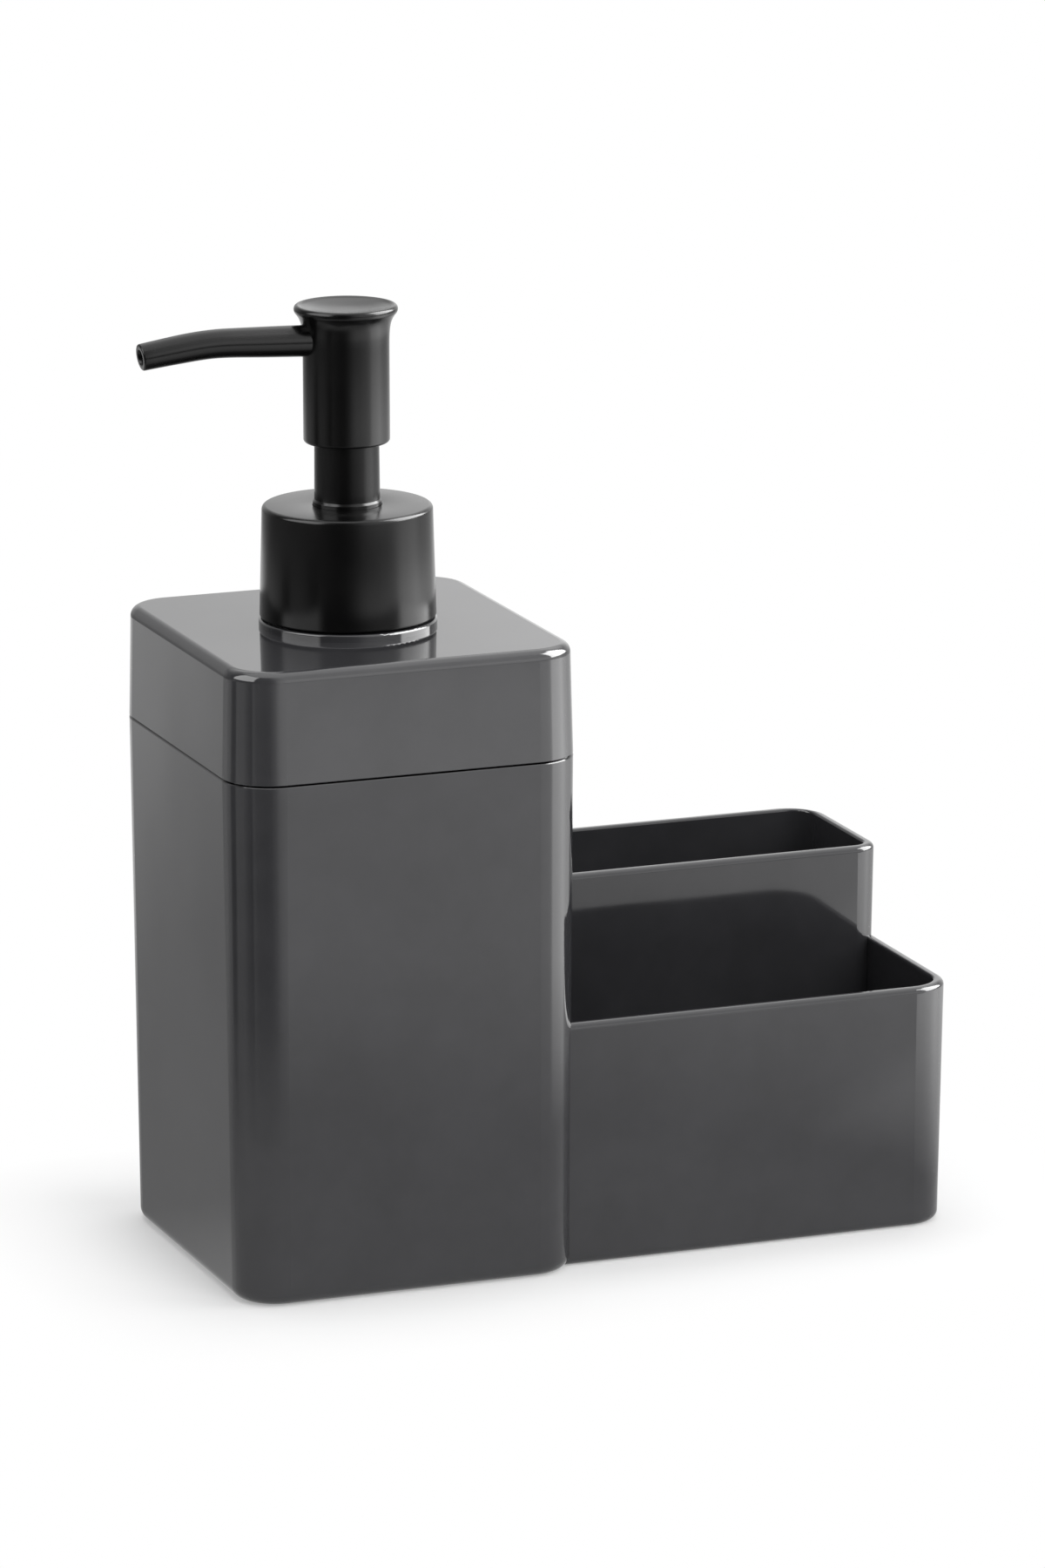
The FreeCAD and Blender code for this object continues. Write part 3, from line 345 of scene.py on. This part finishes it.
# %% Helpers for finishes
def surface(name):
    """A new material: itself, its tree, its Principled shader and its object coordinates."""
    material = bpy.data.materials.new(name)
    material.use_nodes = True
    tree = material.node_tree
    where = add_node(tree, "ShaderNodeTexCoord").outputs["Object"]
    return material, tree, tree.nodes["Principled BSDF"], where


def stretched(tree, where, scale):
    """Coordinates with a scale of their own along each axis."""
    mapping = add_node(tree, "ShaderNodeMapping")
    mapping.inputs["Scale"].default_value = scale
    tree.links.new(where, mapping.inputs["Vector"])
    return mapping.outputs["Vector"]


def clouds(tree, where, scale, detail=3.0, distortion=0.0):
    """A noise from 0 to 1, mostly near its middle."""
    noise = add_node(tree, "ShaderNodeTexNoise")
    noise.inputs["Scale"].default_value = scale
    noise.inputs["Detail"].default_value = detail
    noise.inputs["Distortion"].default_value = distortion
    tree.links.new(where, noise.inputs["Vector"])
    return noise.outputs["Fac"]


def between(tree, factor, low, high, start=0.3, end=0.7):
    """A value that goes from low to high while a factor goes from start to end."""
    mapped = add_node(tree, "ShaderNodeMapRange")
    tree.links.new(factor, mapped.inputs["Value"])
    for slot, value in (("From Min", start), ("From Max", end), ("To Min", low), ("To Max", high)):
        mapped.inputs[slot].default_value = value
    return mapped.outputs["Result"]


def tinted(tree, factor, dark, light):
    """A colour from dark to light by a factor, most of it near the middle."""
    ramp = add_node(tree, "ShaderNodeValToRGB")
    elements = ramp.color_ramp.elements
    for element, place, colour in zip(elements, (0.3, 0.7), (dark, light)):
        element.position = place
        element.color = (*colour, 1)
    tree.links.new(factor, ramp.inputs["Fac"])
    return ramp.outputs["Color"]


def relief(tree, shader, *layers):
    """Bump from (height, depth in metres) layers, one laid over the other."""
    below = None
    for height, depth in layers:
        bump = add_node(tree, "ShaderNodeBump")
        bump.inputs["Distance"].default_value = depth
        tree.links.new(height, bump.inputs["Height"])
        if below:
            tree.links.new(below, bump.inputs["Normal"])
        below = bump.outputs["Normal"]
    tree.links.new(below, shader.inputs["Normal"])


print("clouds at a scale of 100 are about", 1000 // 100, "mm apart")

# %% [markdown]
# The bottle, the lid and the pockets are polystyrene or a plastic like it, dyed smoke grey and
# moulded against polished steel. Up close such a wall is not one even grey: the dye lies in faint
# clouds, some places are a touch duller, and the skin is very slightly wavy, which bends long
# reflections. The lid is a separate moulding and mirrors a little more, so it gets a higher IOR.
# The joint between the two is too narrow to give light back, so its shade is painted: along the
# seam the colour goes black, and as a black metal it keeps no reflection either.

# %% Smoked gloss
SEAM_HEIGHT = 0.1165
# Painted seam shade: full within the first distance from the seam, in metres, gone at the second.
SEAM_SHADE_EDGE = (0.00010, 0.00022)
WIDE_SHARE, CLOSE_SHARE = 0.65, 0.35
DARKER, LIGHTER = 0.84, 1.18


def smoked_gloss(name, grey, ior):
    """Dark glossy plastic with faint clouds in its dye, and a painted shadow line at the seam."""
    material, tree, shader, where = surface(name)
    level = add_node(tree, "ShaderNodeSeparateXYZ")
    tree.links.new(where, level.inputs[0])
    above = math_node(tree, "SUBTRACT", level.outputs["Z"], SEAM_HEIGHT)
    # Painted shade: a black line along the seam where the joint's shadow falls, metallic so it
    # shows no reflection.
    seam_shade = between(tree, math_node(tree, "ABSOLUTE", above), 1, 0, *SEAM_SHADE_EDGE)
    tree.links.new(seam_shade, shader.inputs["Metallic"])
    wide, close = clouds(tree, where, 24, 4, 0.6), clouds(tree, where, 110, 3)
    mixed = math_node(tree, "ADD", math_node(tree, "MULTIPLY", wide, WIDE_SHARE),
                      math_node(tree, "MULTIPLY", close, CLOSE_SHARE))
    dye = tinted(tree, mixed, [DARKER * part for part in grey], [LIGHTER * part for part in grey])
    # The painted seam shade scales the dye down to black.
    seam_shaded_dye = add_node(tree, "ShaderNodeVectorMath", operation="SCALE")
    tree.links.new(dye, seam_shaded_dye.inputs[0])
    tree.links.new(math_node(tree, "SUBTRACT", 1, seam_shade), seam_shaded_dye.inputs["Scale"])
    tree.links.new(seam_shaded_dye.outputs[0], shader.inputs["Base Color"])
    tree.links.new(between(tree, clouds(tree, where, 45, 5), 0.045, 0.085),
                   shader.inputs["Roughness"])
    waves, skin = clouds(tree, where, 19, 1), clouds(tree, where, 700, 2)
    relief(tree, shader, (waves, 0.00016), (skin, 1.2e-6))
    shader.inputs["IOR"].default_value = ior
    return material


shell_gloss = smoked_gloss("smoked_gloss", grey=(0.0335, 0.0335, 0.0362), ior=1.50)
cover_gloss = smoked_gloss("cover_gloss", grey=(0.0370, 0.0370, 0.0398), ior=1.56)
print("gloss finishes:", shell_gloss.name, cover_gloss.name)

# %% [markdown]
# The pump is black polypropylene. Its mould is spark-eroded, which leaves a fine even grain, so
# it shines softly and has no sharp reflections. The grain is a bump under half a millimetre across
# and a few thousandths of one deep, with a wider and shallower one laid over it. The shine is held
# back on the shader's own specular level.

# %% Satin black
satin_black, tree, shader, where = surface("satin_black")
DARK_DYE, LIGHT_DYE = (0.0022, 0.0022, 0.0023), (0.0036, 0.0035, 0.0035)
dye = tinted(tree, clouds(tree, where, 160, 4), DARK_DYE, LIGHT_DYE)
tree.links.new(dye, shader.inputs["Base Color"])
tree.links.new(between(tree, clouds(tree, where, 60, 5), 0.20, 0.25), shader.inputs["Roughness"])
relief(tree, shader, (clouds(tree, where, 2600, 2), 4e-6), (clouds(tree, where, 420, 2), 2.5e-6))
shader.inputs["Specular IOR Level"].default_value = 0.31
print("pump finish:", satin_black.name)

# %% [markdown]
# Inside, where nobody looks until the pump is taken apart, nothing is dyed. Barrel, rod, stem and
# seal are milky polyethylene, the dip tube is drawn, so its faint lines run along it, and the
# gasket is a soft foam with small cells. A little light passes into them, which is what makes
# plastic milky.

# %% Undyed plastics
def milky(name, dark, light, roughness, grain, depth):
    """Undyed plastic: a milky colour, a mapped roughness range and a grain of a given depth."""
    material, tree, shader, where = surface(name)
    colour = tinted(tree, clouds(tree, where, 90, 4), dark, light)
    tree.links.new(colour, shader.inputs["Base Color"])
    sheen = between(tree, clouds(tree, where, 200, 4), *roughness)
    tree.links.new(sheen, shader.inputs["Roughness"])
    relief(tree, shader, (grain(tree, where), depth))
    shader.inputs["Subsurface Weight"].default_value = 0.15
    shader.inputs["Subsurface Radius"].default_value = (0.002, 0.002, 0.002)
    return material


def foam_cells(tree, where):
    """Small round cells, as in a foamed sheet."""
    cells = add_node(tree, "ShaderNodeTexVoronoi", feature="SMOOTH_F1")
    cells.inputs["Scale"].default_value = 1800
    tree.links.new(where, cells.inputs["Vector"])
    return cells.outputs["Distance"]


def fine_grain(tree, where):
    """An even grain of about a millimetre."""
    return clouds(tree, where, 900)


def lines_along(tree, where):
    """Fine lines that run up and down, as drawing through a die leaves them."""
    return clouds(tree, stretched(tree, where, (1, 1, 0.02)), 1500)


def rings_around(tree, where):
    """Fine marks that lie round a turned part."""
    return clouds(tree, stretched(tree, where, (0.1, 0.1, 1)), 1200)


milky_plastic = milky("milky_plastic", (0.56, 0.56, 0.53), (0.66, 0.66, 0.63), (0.32, 0.48),
                      fine_grain, 4e-6)
drawn_tube = milky("drawn_tube", (0.62, 0.62, 0.60), (0.72, 0.72, 0.70), (0.24, 0.38),
                   lines_along, 8e-6)
gasket_foam = milky("gasket_foam", (0.62, 0.62, 0.61), (0.76, 0.76, 0.75), (0.62, 0.82),
                    foam_cells, 6e-5)
seal_plastic = milky("seal_plastic", (0.50, 0.51, 0.52), (0.60, 0.61, 0.62), (0.28, 0.42),
                     rings_around, 5e-6)
undyed = (milky_plastic, drawn_tube, gasket_foam, seal_plastic)
print("undyed finishes:", *[finish.name for finish in undyed])

# %% [markdown]
# The spring and the valve ball are stainless steel. Drawn and ground steel shows fine lines, and
# its shine is stretched across them, which the shader's anisotropy gives.

# %% Stainless steel
drawn_steel, tree, shader, where = surface("drawn_steel")
lines = clouds(tree, stretched(tree, where, (1, 1, 6)), 1100, 3)
shade = tinted(tree, lines, (0.48, 0.47, 0.46), (0.60, 0.59, 0.58))
tree.links.new(shade, shader.inputs["Base Color"])
polish = between(tree, clouds(tree, where, 500, 4), 0.18, 0.34)
tree.links.new(polish, shader.inputs["Roughness"])
relief(tree, shader, (lines, 3e-6))
shader.inputs["Metallic"].default_value = 1
shader.inputs["Anisotropic"].default_value = 0.4
print("metal finish:", drawn_steel.name)

# %% [markdown]
# The bottle, the lid and the parts inside keep the CAD model's own shapes, which are right as
# they are. Each of them only gets its finish here.

# %% Finishes on the CAD parts
FINISHES = {"shell": shell_gloss, "cover": cover_gloss, "pump_black": satin_black,
            "natural": milky_plastic, "tube": drawn_tube, "gasket": gasket_foam,
            "seal": seal_plastic, "steel": drawn_steel}
NODE_FINISH = {
    "body": "shell", "lid": "cover", "collar_shell": "pump_black", "collar_insert": "pump_black",
    "chimney": "pump_black", "actuator_head": "pump_black", "cylinder": "natural",
    "stem": "natural", "piston_rod": "natural", "dip_tube": "tube", "neck_gasket": "gasket",
    "piston_seal": "seal", "check_ball": "steel", "return_spring": "steel",
}
for name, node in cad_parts.items():
    node.data.materials.clear()
    node.data.materials.append(FINISHES[NODE_FINISH[name]])
print(len(NODE_FINISH), "CAD parts have", len(FINISHES), "finishes")

# %% [markdown]
# The pump is a set of turned parts: collar, chimney and button all have the same section at
# every angle. On a lathe, or in a round mould, such a part is its half section swept round one
# axis, so one Geometry Nodes tree makes them all. The section is a row of points, each a radius
# and a height. A grid gets one row for each point and one column for each angle, and every
# corner of it is put at its angle round the axis. The ends meet and are merged.

# %% A tree that turns a section
MM = 0.001


def new_tree(name, sockets):
    """A Geometry Nodes tree with a geometry in and out, and the named inputs given."""
    tree = bpy.data.node_groups.new(name, "GeometryNodeTree")
    tree.interface.new_socket("Geometry", in_out="INPUT", socket_type="NodeSocketGeometry")
    tree.interface.new_socket("Geometry", in_out="OUTPUT", socket_type="NodeSocketGeometry")
    for socket_name, kind in sockets:
        tree.interface.new_socket(socket_name, in_out="INPUT", socket_type=f"NodeSocket{kind}")
    return tree, add_node(tree, "NodeGroupInput"), add_node(tree, "NodeGroupOutput")


def wire(tree, *pairs):
    """Link each (output, input) pair of sockets."""
    for source, target in pairs:
        tree.links.new(source, target)


def close_tree(tree, geometry, finish, group_out):
    """End a tree: instances made real, smooth faces and the finish set."""
    smooth = add_node(tree, "GeometryNodeSetShadeSmooth")
    real = add_node(tree, "GeometryNodeRealizeInstances")
    painted = add_node(tree, "GeometryNodeSetMaterial")
    wire(tree, (geometry, real.inputs["Geometry"]), (real.outputs[0], smooth.inputs["Geometry"]),
         (smooth.outputs[0], painted.inputs["Geometry"]), (finish, painted.inputs["Material"]),
         (painted.outputs[0], group_out.inputs["Geometry"]))


turning, group_in, group_out = new_tree(
    "turned_section", (("Steps Round", "Int"), ("Merge Distance", "Float"), ("Finish", "Material")))
count = add_node(turning, "GeometryNodeAttributeDomainSize", component="MESH")
columns = math_node(turning, "ADD", group_in.outputs["Steps Round"], 1)
grid = add_node(turning, "GeometryNodeMeshGrid")
place = add_node(turning, "GeometryNodeInputIndex")
row = math_node(turning, "MODULO", place.outputs[0], count.outputs["Point Count"])
column = math_node(turning, "FLOOR", math_node(turning, "DIVIDE", place.outputs[0],
                                               count.outputs["Point Count"]))
angle = math_node(turning, "MULTIPLY", math_node(turning, "DIVIDE", column,
                                                 group_in.outputs["Steps Round"]), 2 * math.pi)
section = add_node(turning, "GeometryNodeSampleIndex", data_type="FLOAT_VECTOR")
spot = add_node(turning, "ShaderNodeSeparateXYZ")
put = add_node(turning, "ShaderNodeCombineXYZ")
moved = add_node(turning, "GeometryNodeSetPosition")
merged = add_node(turning, "GeometryNodeMergeByDistance")
wire(turning, (group_in.outputs["Geometry"], count.inputs["Geometry"]),
     (columns, grid.inputs["Vertices X"]),
     (count.outputs["Point Count"], grid.inputs["Vertices Y"]),
     (group_in.outputs["Geometry"], section.inputs["Geometry"]),
     (add_node(turning, "GeometryNodeInputPosition").outputs[0], section.inputs["Value"]),
     (row, section.inputs["Index"]), (section.outputs["Value"], spot.inputs[0]),
     (math_node(turning, "MULTIPLY", spot.outputs["X"], math_node(turning, "COSINE", angle)),
      put.inputs["X"]),
     (math_node(turning, "MULTIPLY", spot.outputs["X"], math_node(turning, "SINE", angle)),
      put.inputs["Y"]),
     (spot.outputs["Z"], put.inputs["Z"]), (grid.outputs["Mesh"], moved.inputs["Geometry"]),
     (put.outputs[0], moved.inputs["Position"]), (moved.outputs[0], merged.inputs["Geometry"]),
     (group_in.outputs["Merge Distance"], merged.inputs["Distance"]))
close_tree(turning, merged.outputs["Geometry"], group_in.outputs["Finish"], group_out)
print("tree", turning.name, "has", len(turning.nodes), "nodes")

# %% [markdown]
# Sections are written as corners, each with its rounding, as on a drawing. The first helper turns
# them into points. The others hand a section to the tree, take the evaluated result as a plain
# mesh, and mark the edges that stay crisp, so that the shading breaks only where a mould would.

# %% Sections with rounded corners, and plain meshes
SAME_PLACE, SAME_PLACE_FINE = 0.01, 0.002
NO_LENGTH = 1e-7


def rounded_section(corners, steps=6):
    """Points of a closed section from (radius, height, rounding) corners, in millimetres."""
    points = []
    for number, (x, z, rounding) in enumerate(corners):
        here = Vector((x, 0, z))
        if not rounding:
            points.append(here)
            continue
        before, after = (Vector((corners[k][0], 0, corners[k][1]))
                         for k in (number - 1, (number + 1) % len(corners)))
        back, onward = (before - here).normalized(), (after - here).normalized()
        half = back.angle(onward) / 2
        centre = here + (back + onward).normalized() * (rounding / math.sin(half))
        reach = rounding / math.tan(half)
        first, last = here + back * reach, here + onward * reach
        for step in range(steps + 1):
            arm = (first - centre).normalized().slerp((last - centre).normalized(), step / steps)
            points.append(centre + arm * rounding)
    return points


def set_inputs(modifier, tree, values):
    """Set a modifier's inputs by the identifiers of the tree's named sockets."""
    for item in tree.interface.items_tree:
        if item.in_out == "INPUT" and item.name in values:
            modifier[item.identifier] = values[item.name]


def plain_mesh(name, source):
    """A plain mesh object of what an object's modifiers make, with its faces turned outwards."""
    finished = source.evaluated_get(bpy.context.evaluated_depsgraph_get())
    mesh = bpy.data.meshes.new_from_object(finished)
    bpy.data.objects.remove(source)
    mesh.name = name
    work = bmesh.new()
    work.from_mesh(mesh)
    bmesh.ops.dissolve_degenerate(work, edges=work.edges, dist=NO_LENGTH)
    bmesh.ops.recalc_face_normals(work, faces=work.faces)
    work.to_mesh(mesh)
    work.free()
    piece = bpy.data.objects.new(name, mesh)
    bpy.context.collection.objects.link(piece)
    return piece


def crisp(piece, degrees=35):
    """Keep an edge sharp where its two faces meet at more than an angle."""
    work = bmesh.new()
    work.from_mesh(piece.data)
    for edge in work.edges:
        edge.smooth = len(edge.link_faces) != 2 or edge.calc_face_angle(0) < math.radians(degrees)
    work.to_mesh(piece.data)
    work.free()


def section_object(points):
    """An object whose vertices are a closed section's points, in metres, the first one twice."""
    ring = [point * MM for point in [*points, points[0]]]
    mesh = bpy.data.meshes.new("section")
    mesh.from_pydata(ring, [(k, k + 1) for k in range(len(ring) - 1)], [])
    piece = bpy.data.objects.new("section", mesh)
    bpy.context.collection.objects.link(piece)
    return piece


def turned(name, points, finish, steps=96):
    """A piece turned round the pump's axis from a closed section."""
    source = section_object(points)
    modifier = source.modifiers.new("turn", "NODES")
    modifier.node_group = turning
    set_inputs(modifier, turning, {
        "Steps Round": steps, "Merge Distance": SAME_PLACE * MM, "Finish": finish})
    piece = plain_mesh(name, source)
    crisp(piece)
    print(name, len(piece.data.polygons), "faces")
    return piece


print("points of a section are merged within", SAME_PLACE, "mm")

# %% [markdown]
# The collar is the smooth skirt that hides the screw thread. Its side leans in slightly towards
# the top, as every moulded side does, so that it leaves its mould, and its top edge is rounded.

# %% Collar
collar = turned("collar", rounded_section([
    (17.0, 143.3, 0.2), (19.4, 143.3, 0.4), (18.7, 167.9, 1.0), (7.58, 167.9, 0.15),
    (7.58, 166.1, 0), (17.0, 166.1, 0.5)]), FINISHES["pump_black"], steps=160)
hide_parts("collar_shell")
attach(collar, "collar")

# %% [markdown]
# The chimney is the fixed sleeve that stands in the collar and guides the stem. It has a small
# step at its foot, a flange that the collar clamps, and it narrows a little towards the top.

# %% Chimney
sleeve = turned("sleeve", rounded_section([
    (3.56, 155.1, 0), (5.45, 155.1, 0.3), (5.45, 162.6, 0), (12.6, 162.6, 0), (12.6, 164.2, 0.2),
    (7.52, 164.2, 0), (7.52, 168.7, 0.15), (7.2, 169.2, 0.15), (7.05, 186.25, 0.3),
    (5.8, 186.25, 0.2), (5.8, 164.2, 0), (3.56, 164.2, 0)]), FINISHES["pump_black"], steps=112)
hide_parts("chimney")
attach(sleeve, "pump")

# %% [markdown]
# The button is a deep cap. Its side runs straight up, flares outwards in one smooth curve to a
# thick round lip, and its top is dished for a fingertip. The flare and the lip have no corners,
# so their part of the section is a spline through a few measured points.

# %% Button section
def smooth_run(points, steps=5):
    """Points along a Catmull-Rom spline through points in a section, in millimetres."""
    spots = [Vector((x, 0, z)) for x, z in points]
    spots = [2 * spots[0] - spots[1], *spots, 2 * spots[-1] - spots[-2]]
    run = []
    for k in range(1, len(spots) - 2):
        a, b, c, d = spots[k - 1:k + 3]
        for step in range(steps):
            t = step / steps
            run.append(0.5 * (2 * b + (c - a) * t + (2 * a - 5 * b + 4 * c - d) * t ** 2
                              + (3 * b - a - 3 * c + d) * t ** 3))
    return [*run, spots[-2]]


flare = smooth_run([
    (9.45, 203.0), (9.47, 204.5), (9.53, 206.0), (9.68, 207.3), (9.92, 208.3), (10.30, 209.2),
    (10.78, 209.95), (11.16, 210.45), (11.33, 210.98), (11.26, 211.5), (10.98, 211.9),
    (10.55, 212.05), (10.05, 211.95), (9.4, 211.72), (8.0, 211.45), (6.0, 211.12), (4.0, 210.9),
    (2.0, 210.8), (0.0, 210.77)])
inside = rounded_section([
    (0.0, 204.5, 0), (1.9, 204.5, 0), (1.9, 200.8, 0), (3.52, 200.8, 0), (3.52, 188.05, 0.2),
    (5.2, 188.05, 0.2), (5.2, 200.8, 0), (7.95, 200.8, 0), (7.95, 181.75, 0.2), (9.45, 181.75, 0.8),
    (9.45, 203.0, 0)])[:-1]
button = turned("button", [*flare, *inside], FINISHES["pump_black"], steps=128)

# %% [markdown]
# The nozzle is a round tube that follows a path: it leaves the button level, bends once and
# droops to its mouth, and it gets thinner on the way. A second tree bends any turned piece along
# a curve, by reading the curve's place and direction at each height. The tube is first turned
# straight, with its mouth's rim and its bore in the section, and is then bent.

# %% A tree that bends a piece along a path
bending, group_in, group_out = new_tree(
    "bent_along_path", (("Path", "Object"), ("Finish", "Material")))
path_info = add_node(bending, "GeometryNodeObjectInfo")
on_path = add_node(bending, "GeometryNodeSampleCurve", mode="LENGTH", use_all_curves=False)
here = add_node(bending, "GeometryNodeInputPosition")
spot = add_node(bending, "ShaderNodeSeparateXYZ")
across = add_node(bending, "ShaderNodeVectorMath", operation="CROSS_PRODUCT")
side = add_node(bending, "ShaderNodeVectorMath", operation="SCALE")
lift = add_node(bending, "ShaderNodeVectorMath", operation="SCALE")
outward = add_node(bending, "ShaderNodeVectorMath", operation="ADD")
at = add_node(bending, "ShaderNodeVectorMath", operation="ADD")
moved = add_node(bending, "GeometryNodeSetPosition")
wire(bending, (group_in.outputs["Path"], path_info.inputs["Object"]),
     (path_info.outputs["Geometry"], on_path.inputs["Curves"]), (here.outputs[0], spot.inputs[0]),
     (spot.outputs["Z"], on_path.inputs["Length"]),
     (on_path.outputs["Tangent"], across.inputs[0]), (on_path.outputs["Normal"], across.inputs[1]),
     (on_path.outputs["Normal"], side.inputs[0]), (spot.outputs["X"], side.inputs["Scale"]),
     (across.outputs[0], lift.inputs[0]), (spot.outputs["Y"], lift.inputs["Scale"]),
     (side.outputs[0], outward.inputs[0]), (lift.outputs[0], outward.inputs[1]),
     (outward.outputs[0], at.inputs[0]), (on_path.outputs["Position"], at.inputs[1]),
     (group_in.outputs["Geometry"], moved.inputs["Geometry"]),
     (at.outputs[0], moved.inputs["Position"]))
close_tree(bending, moved.outputs[0], group_in.outputs["Finish"], group_out)
print("tree", bending.name, "has", len(bending.nodes), "nodes")

# %% [markdown]
# The nozzle's line is a NURBS curve of order 3 through nine points, which bends as softly as the
# real tube does. A curve object holds it, because the tree above reads its path from one.

# %% Nozzle line
NOZZLE_LINE = ((-4.0, 204.4), (-12.3, 204.80), (-18.6, 205.03), (-25.0, 205.32), (-29.5, 205.45),
               (-33.5, 205.25), (-37.7, 204.80), (-44.0, 203.97), (-47.2, 203.52))
line = bpy.data.curves.new("nozzle_line", "CURVE")
line.dimensions = "3D"
line.resolution_u = 12
spline = line.splines.new("NURBS")
spline.points.add(len(NOZZLE_LINE) - 1)
for point, (x, z) in zip(spline.points, NOZZLE_LINE):
    point.co = (x * MM, 0, z * MM, 1)
spline.order_u = 3
spline.use_endpoint_u = True
line_object = bpy.data.objects.new("nozzle_line", line)
bpy.context.collection.objects.link(line_object)
line_length = sum((Vector(a) - Vector(b)).length for a, b in zip(NOZZLE_LINE, NOZZLE_LINE[1:]))
print("nozzle line is about", round(line_length, 1), "mm long")

# %% [markdown]
# The tube gets thinner on its way, so its radius comes from a few measured stations. At the mouth
# the section turns round the rim, back into the bore, which ends blind far inside the tube, where
# nobody sees it.

# %% Nozzle
RADIUS_STATIONS = ((0, 3.47), (8.4, 3.43), (14.7, 3.34), (21.1, 3.21), (27, 3.15), (33.6, 3.13),
                   (39.9, 3.0), (44, 2.93))
WALL_STEP, WALL_ROWS = 1.5, 28
TUBE_END, TIP_RADIUS = 43.1, 2.93
BORE_RADIUS, BORE_FOOT, MOUTH_RADIUS, MOUTH_DEPTH = 1.45, 13.0, 1.75, 0.7


def nozzle_radius(reach):
    """The tube's outer radius at a distance along its line, in millimetres."""
    for (a, r0), (b, r1) in zip(RADIUS_STATIONS, RADIUS_STATIONS[1:]):
        if reach <= b:
            return r0 + (r1 - r0) * (reach - a) / (b - a)
    return RADIUS_STATIONS[-1][1]


wall = [(nozzle_radius(reach), reach, 0)
        for reach in [0.01 + WALL_STEP * k for k in range(WALL_ROWS)]]
bore = [(BORE_RADIUS, reach, 0) for reach in range(40, 12, -3)]
nozzle_source = section_object(rounded_section([
    (0.0, 0.0, 0), *wall, (TIP_RADIUS, TUBE_END, 0.35), (MOUTH_RADIUS, TUBE_END, 0.25),
    (BORE_RADIUS, TUBE_END - MOUTH_DEPTH, 0), *bore, (0.0, BORE_FOOT, 0)], steps=5))
turned_values = {"Steps Round": 56, "Merge Distance": SAME_PLACE_FINE * MM,
                 "Finish": FINISHES["pump_black"]}
for label, tree, values in (
        ("turn", turning, turned_values),
        ("bend", bending, {"Path": line_object, "Finish": FINISHES["pump_black"]})):
    modifier = nozzle_source.modifiers.new(label, "NODES")
    modifier.node_group = tree
    set_inputs(modifier, tree, values)
nozzle = plain_mesh("nozzle", nozzle_source)
nozzle_tip = min(vertex.co.x for vertex in nozzle.data.vertices)
print("nozzle", len(nozzle.data.polygons), "faces, reaches x", round(nozzle_tip, 4))

# %% [markdown]
# On the real pump the button and its nozzle come out of one mould, so here they are made one
# piece as well. A Boolean joins them, and leaves the crisp line where tube and cap meet.

# %% Button and nozzle joined
union = button.modifiers.new("nozzle", "BOOLEAN")
union.operation = "UNION"
union.solver = "EXACT"
union.object = nozzle
head = plain_mesh("push_head", button)
bpy.data.objects.remove(nozzle)
bpy.data.objects.remove(line_object)
crisp(head, degrees=32)
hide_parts("actuator_head")
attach(head, "head")
print("push_head", len(head.data.polygons), "faces")

# %% [markdown]
# The return spring hides in the pump's barrel and pushes the button up again. It is a round wire
# that follows a helix, so a curve and a small circle swept along it make it. The coil's radius,
# pitch and turns and the wire's radius are the tree's named inputs, as on a spring's drawing.

# %% A tree that coils a wire
coiling, group_in, group_out = new_tree("coiled_wire", (
    ("Coil Radius", "Float"), ("Pitch", "Float"), ("Turns", "Float"), ("Wire Radius", "Float"),
    ("Foot Height", "Float"), ("Finish", "Material")))
spiral = add_node(coiling, "GeometryNodeCurveSpiral")
spiral.inputs["Resolution"].default_value = 32
ring = add_node(coiling, "GeometryNodeCurvePrimitiveCircle")
ring.inputs["Resolution"].default_value = 12
swept = add_node(coiling, "GeometryNodeCurveToMesh")
swept.inputs["Fill Caps"].default_value = True
raised = add_node(coiling, "GeometryNodeTransform")
foot = add_node(coiling, "ShaderNodeCombineXYZ")
wire(coiling, (group_in.outputs["Turns"], spiral.inputs["Rotations"]),
     (group_in.outputs["Coil Radius"], spiral.inputs["Start Radius"]),
     (group_in.outputs["Coil Radius"], spiral.inputs["End Radius"]),
     (math_node(coiling, "MULTIPLY", group_in.outputs["Pitch"], group_in.outputs["Turns"]),
      spiral.inputs["Height"]),
     (group_in.outputs["Wire Radius"], ring.inputs["Radius"]),
     (spiral.outputs["Curve"], swept.inputs["Curve"]),
     (ring.outputs["Curve"], swept.inputs["Profile Curve"]),
     (group_in.outputs["Foot Height"], foot.inputs["Z"]),
     (swept.outputs[0], raised.inputs["Geometry"]),
     (foot.outputs[0], raised.inputs["Translation"]))
close_tree(coiling, raised.outputs[0], group_in.outputs["Finish"], group_out)
print("tree", coiling.name, "has", len(coiling.nodes), "nodes")

# %% [markdown]
# The spring stands between the barrel's seat and the rod's flange, a hair clear of both. On the
# real pump it gets shorter as the button goes down.

# %% Return spring
spring_source = section_object([Vector((0, 0, 0)), Vector((0, 0, 1))])
modifier = spring_source.modifiers.new("coil", "NODES")
modifier.node_group = coiling
seat, free_length, end_gap, stroke = 120.9, 24.4, 0.15, 12.5
coil_radius, wire_radius, turns = 3.9, 0.45, 9
set_inputs(modifier, coiling, {
    "Coil Radius": coil_radius * MM,
    "Pitch": (free_length - 2 * end_gap - 2 * wire_radius) / turns * MM,
    "Turns": float(turns), "Wire Radius": wire_radius * MM,
    "Foot Height": (seat + end_gap + wire_radius) * MM, "Finish": FINISHES["steel"]})
coil = plain_mesh("coil_spring", spring_source)
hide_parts("return_spring")
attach(coil, "spring")
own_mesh(coil)
print("coil_spring", len(coil.data.polygons), "faces")

# %% [markdown]
# The view transform is Standard, so a colour on the object comes out as it is written.

# %% View transform
bpy.context.scene.view_settings.view_transform = "Standard"
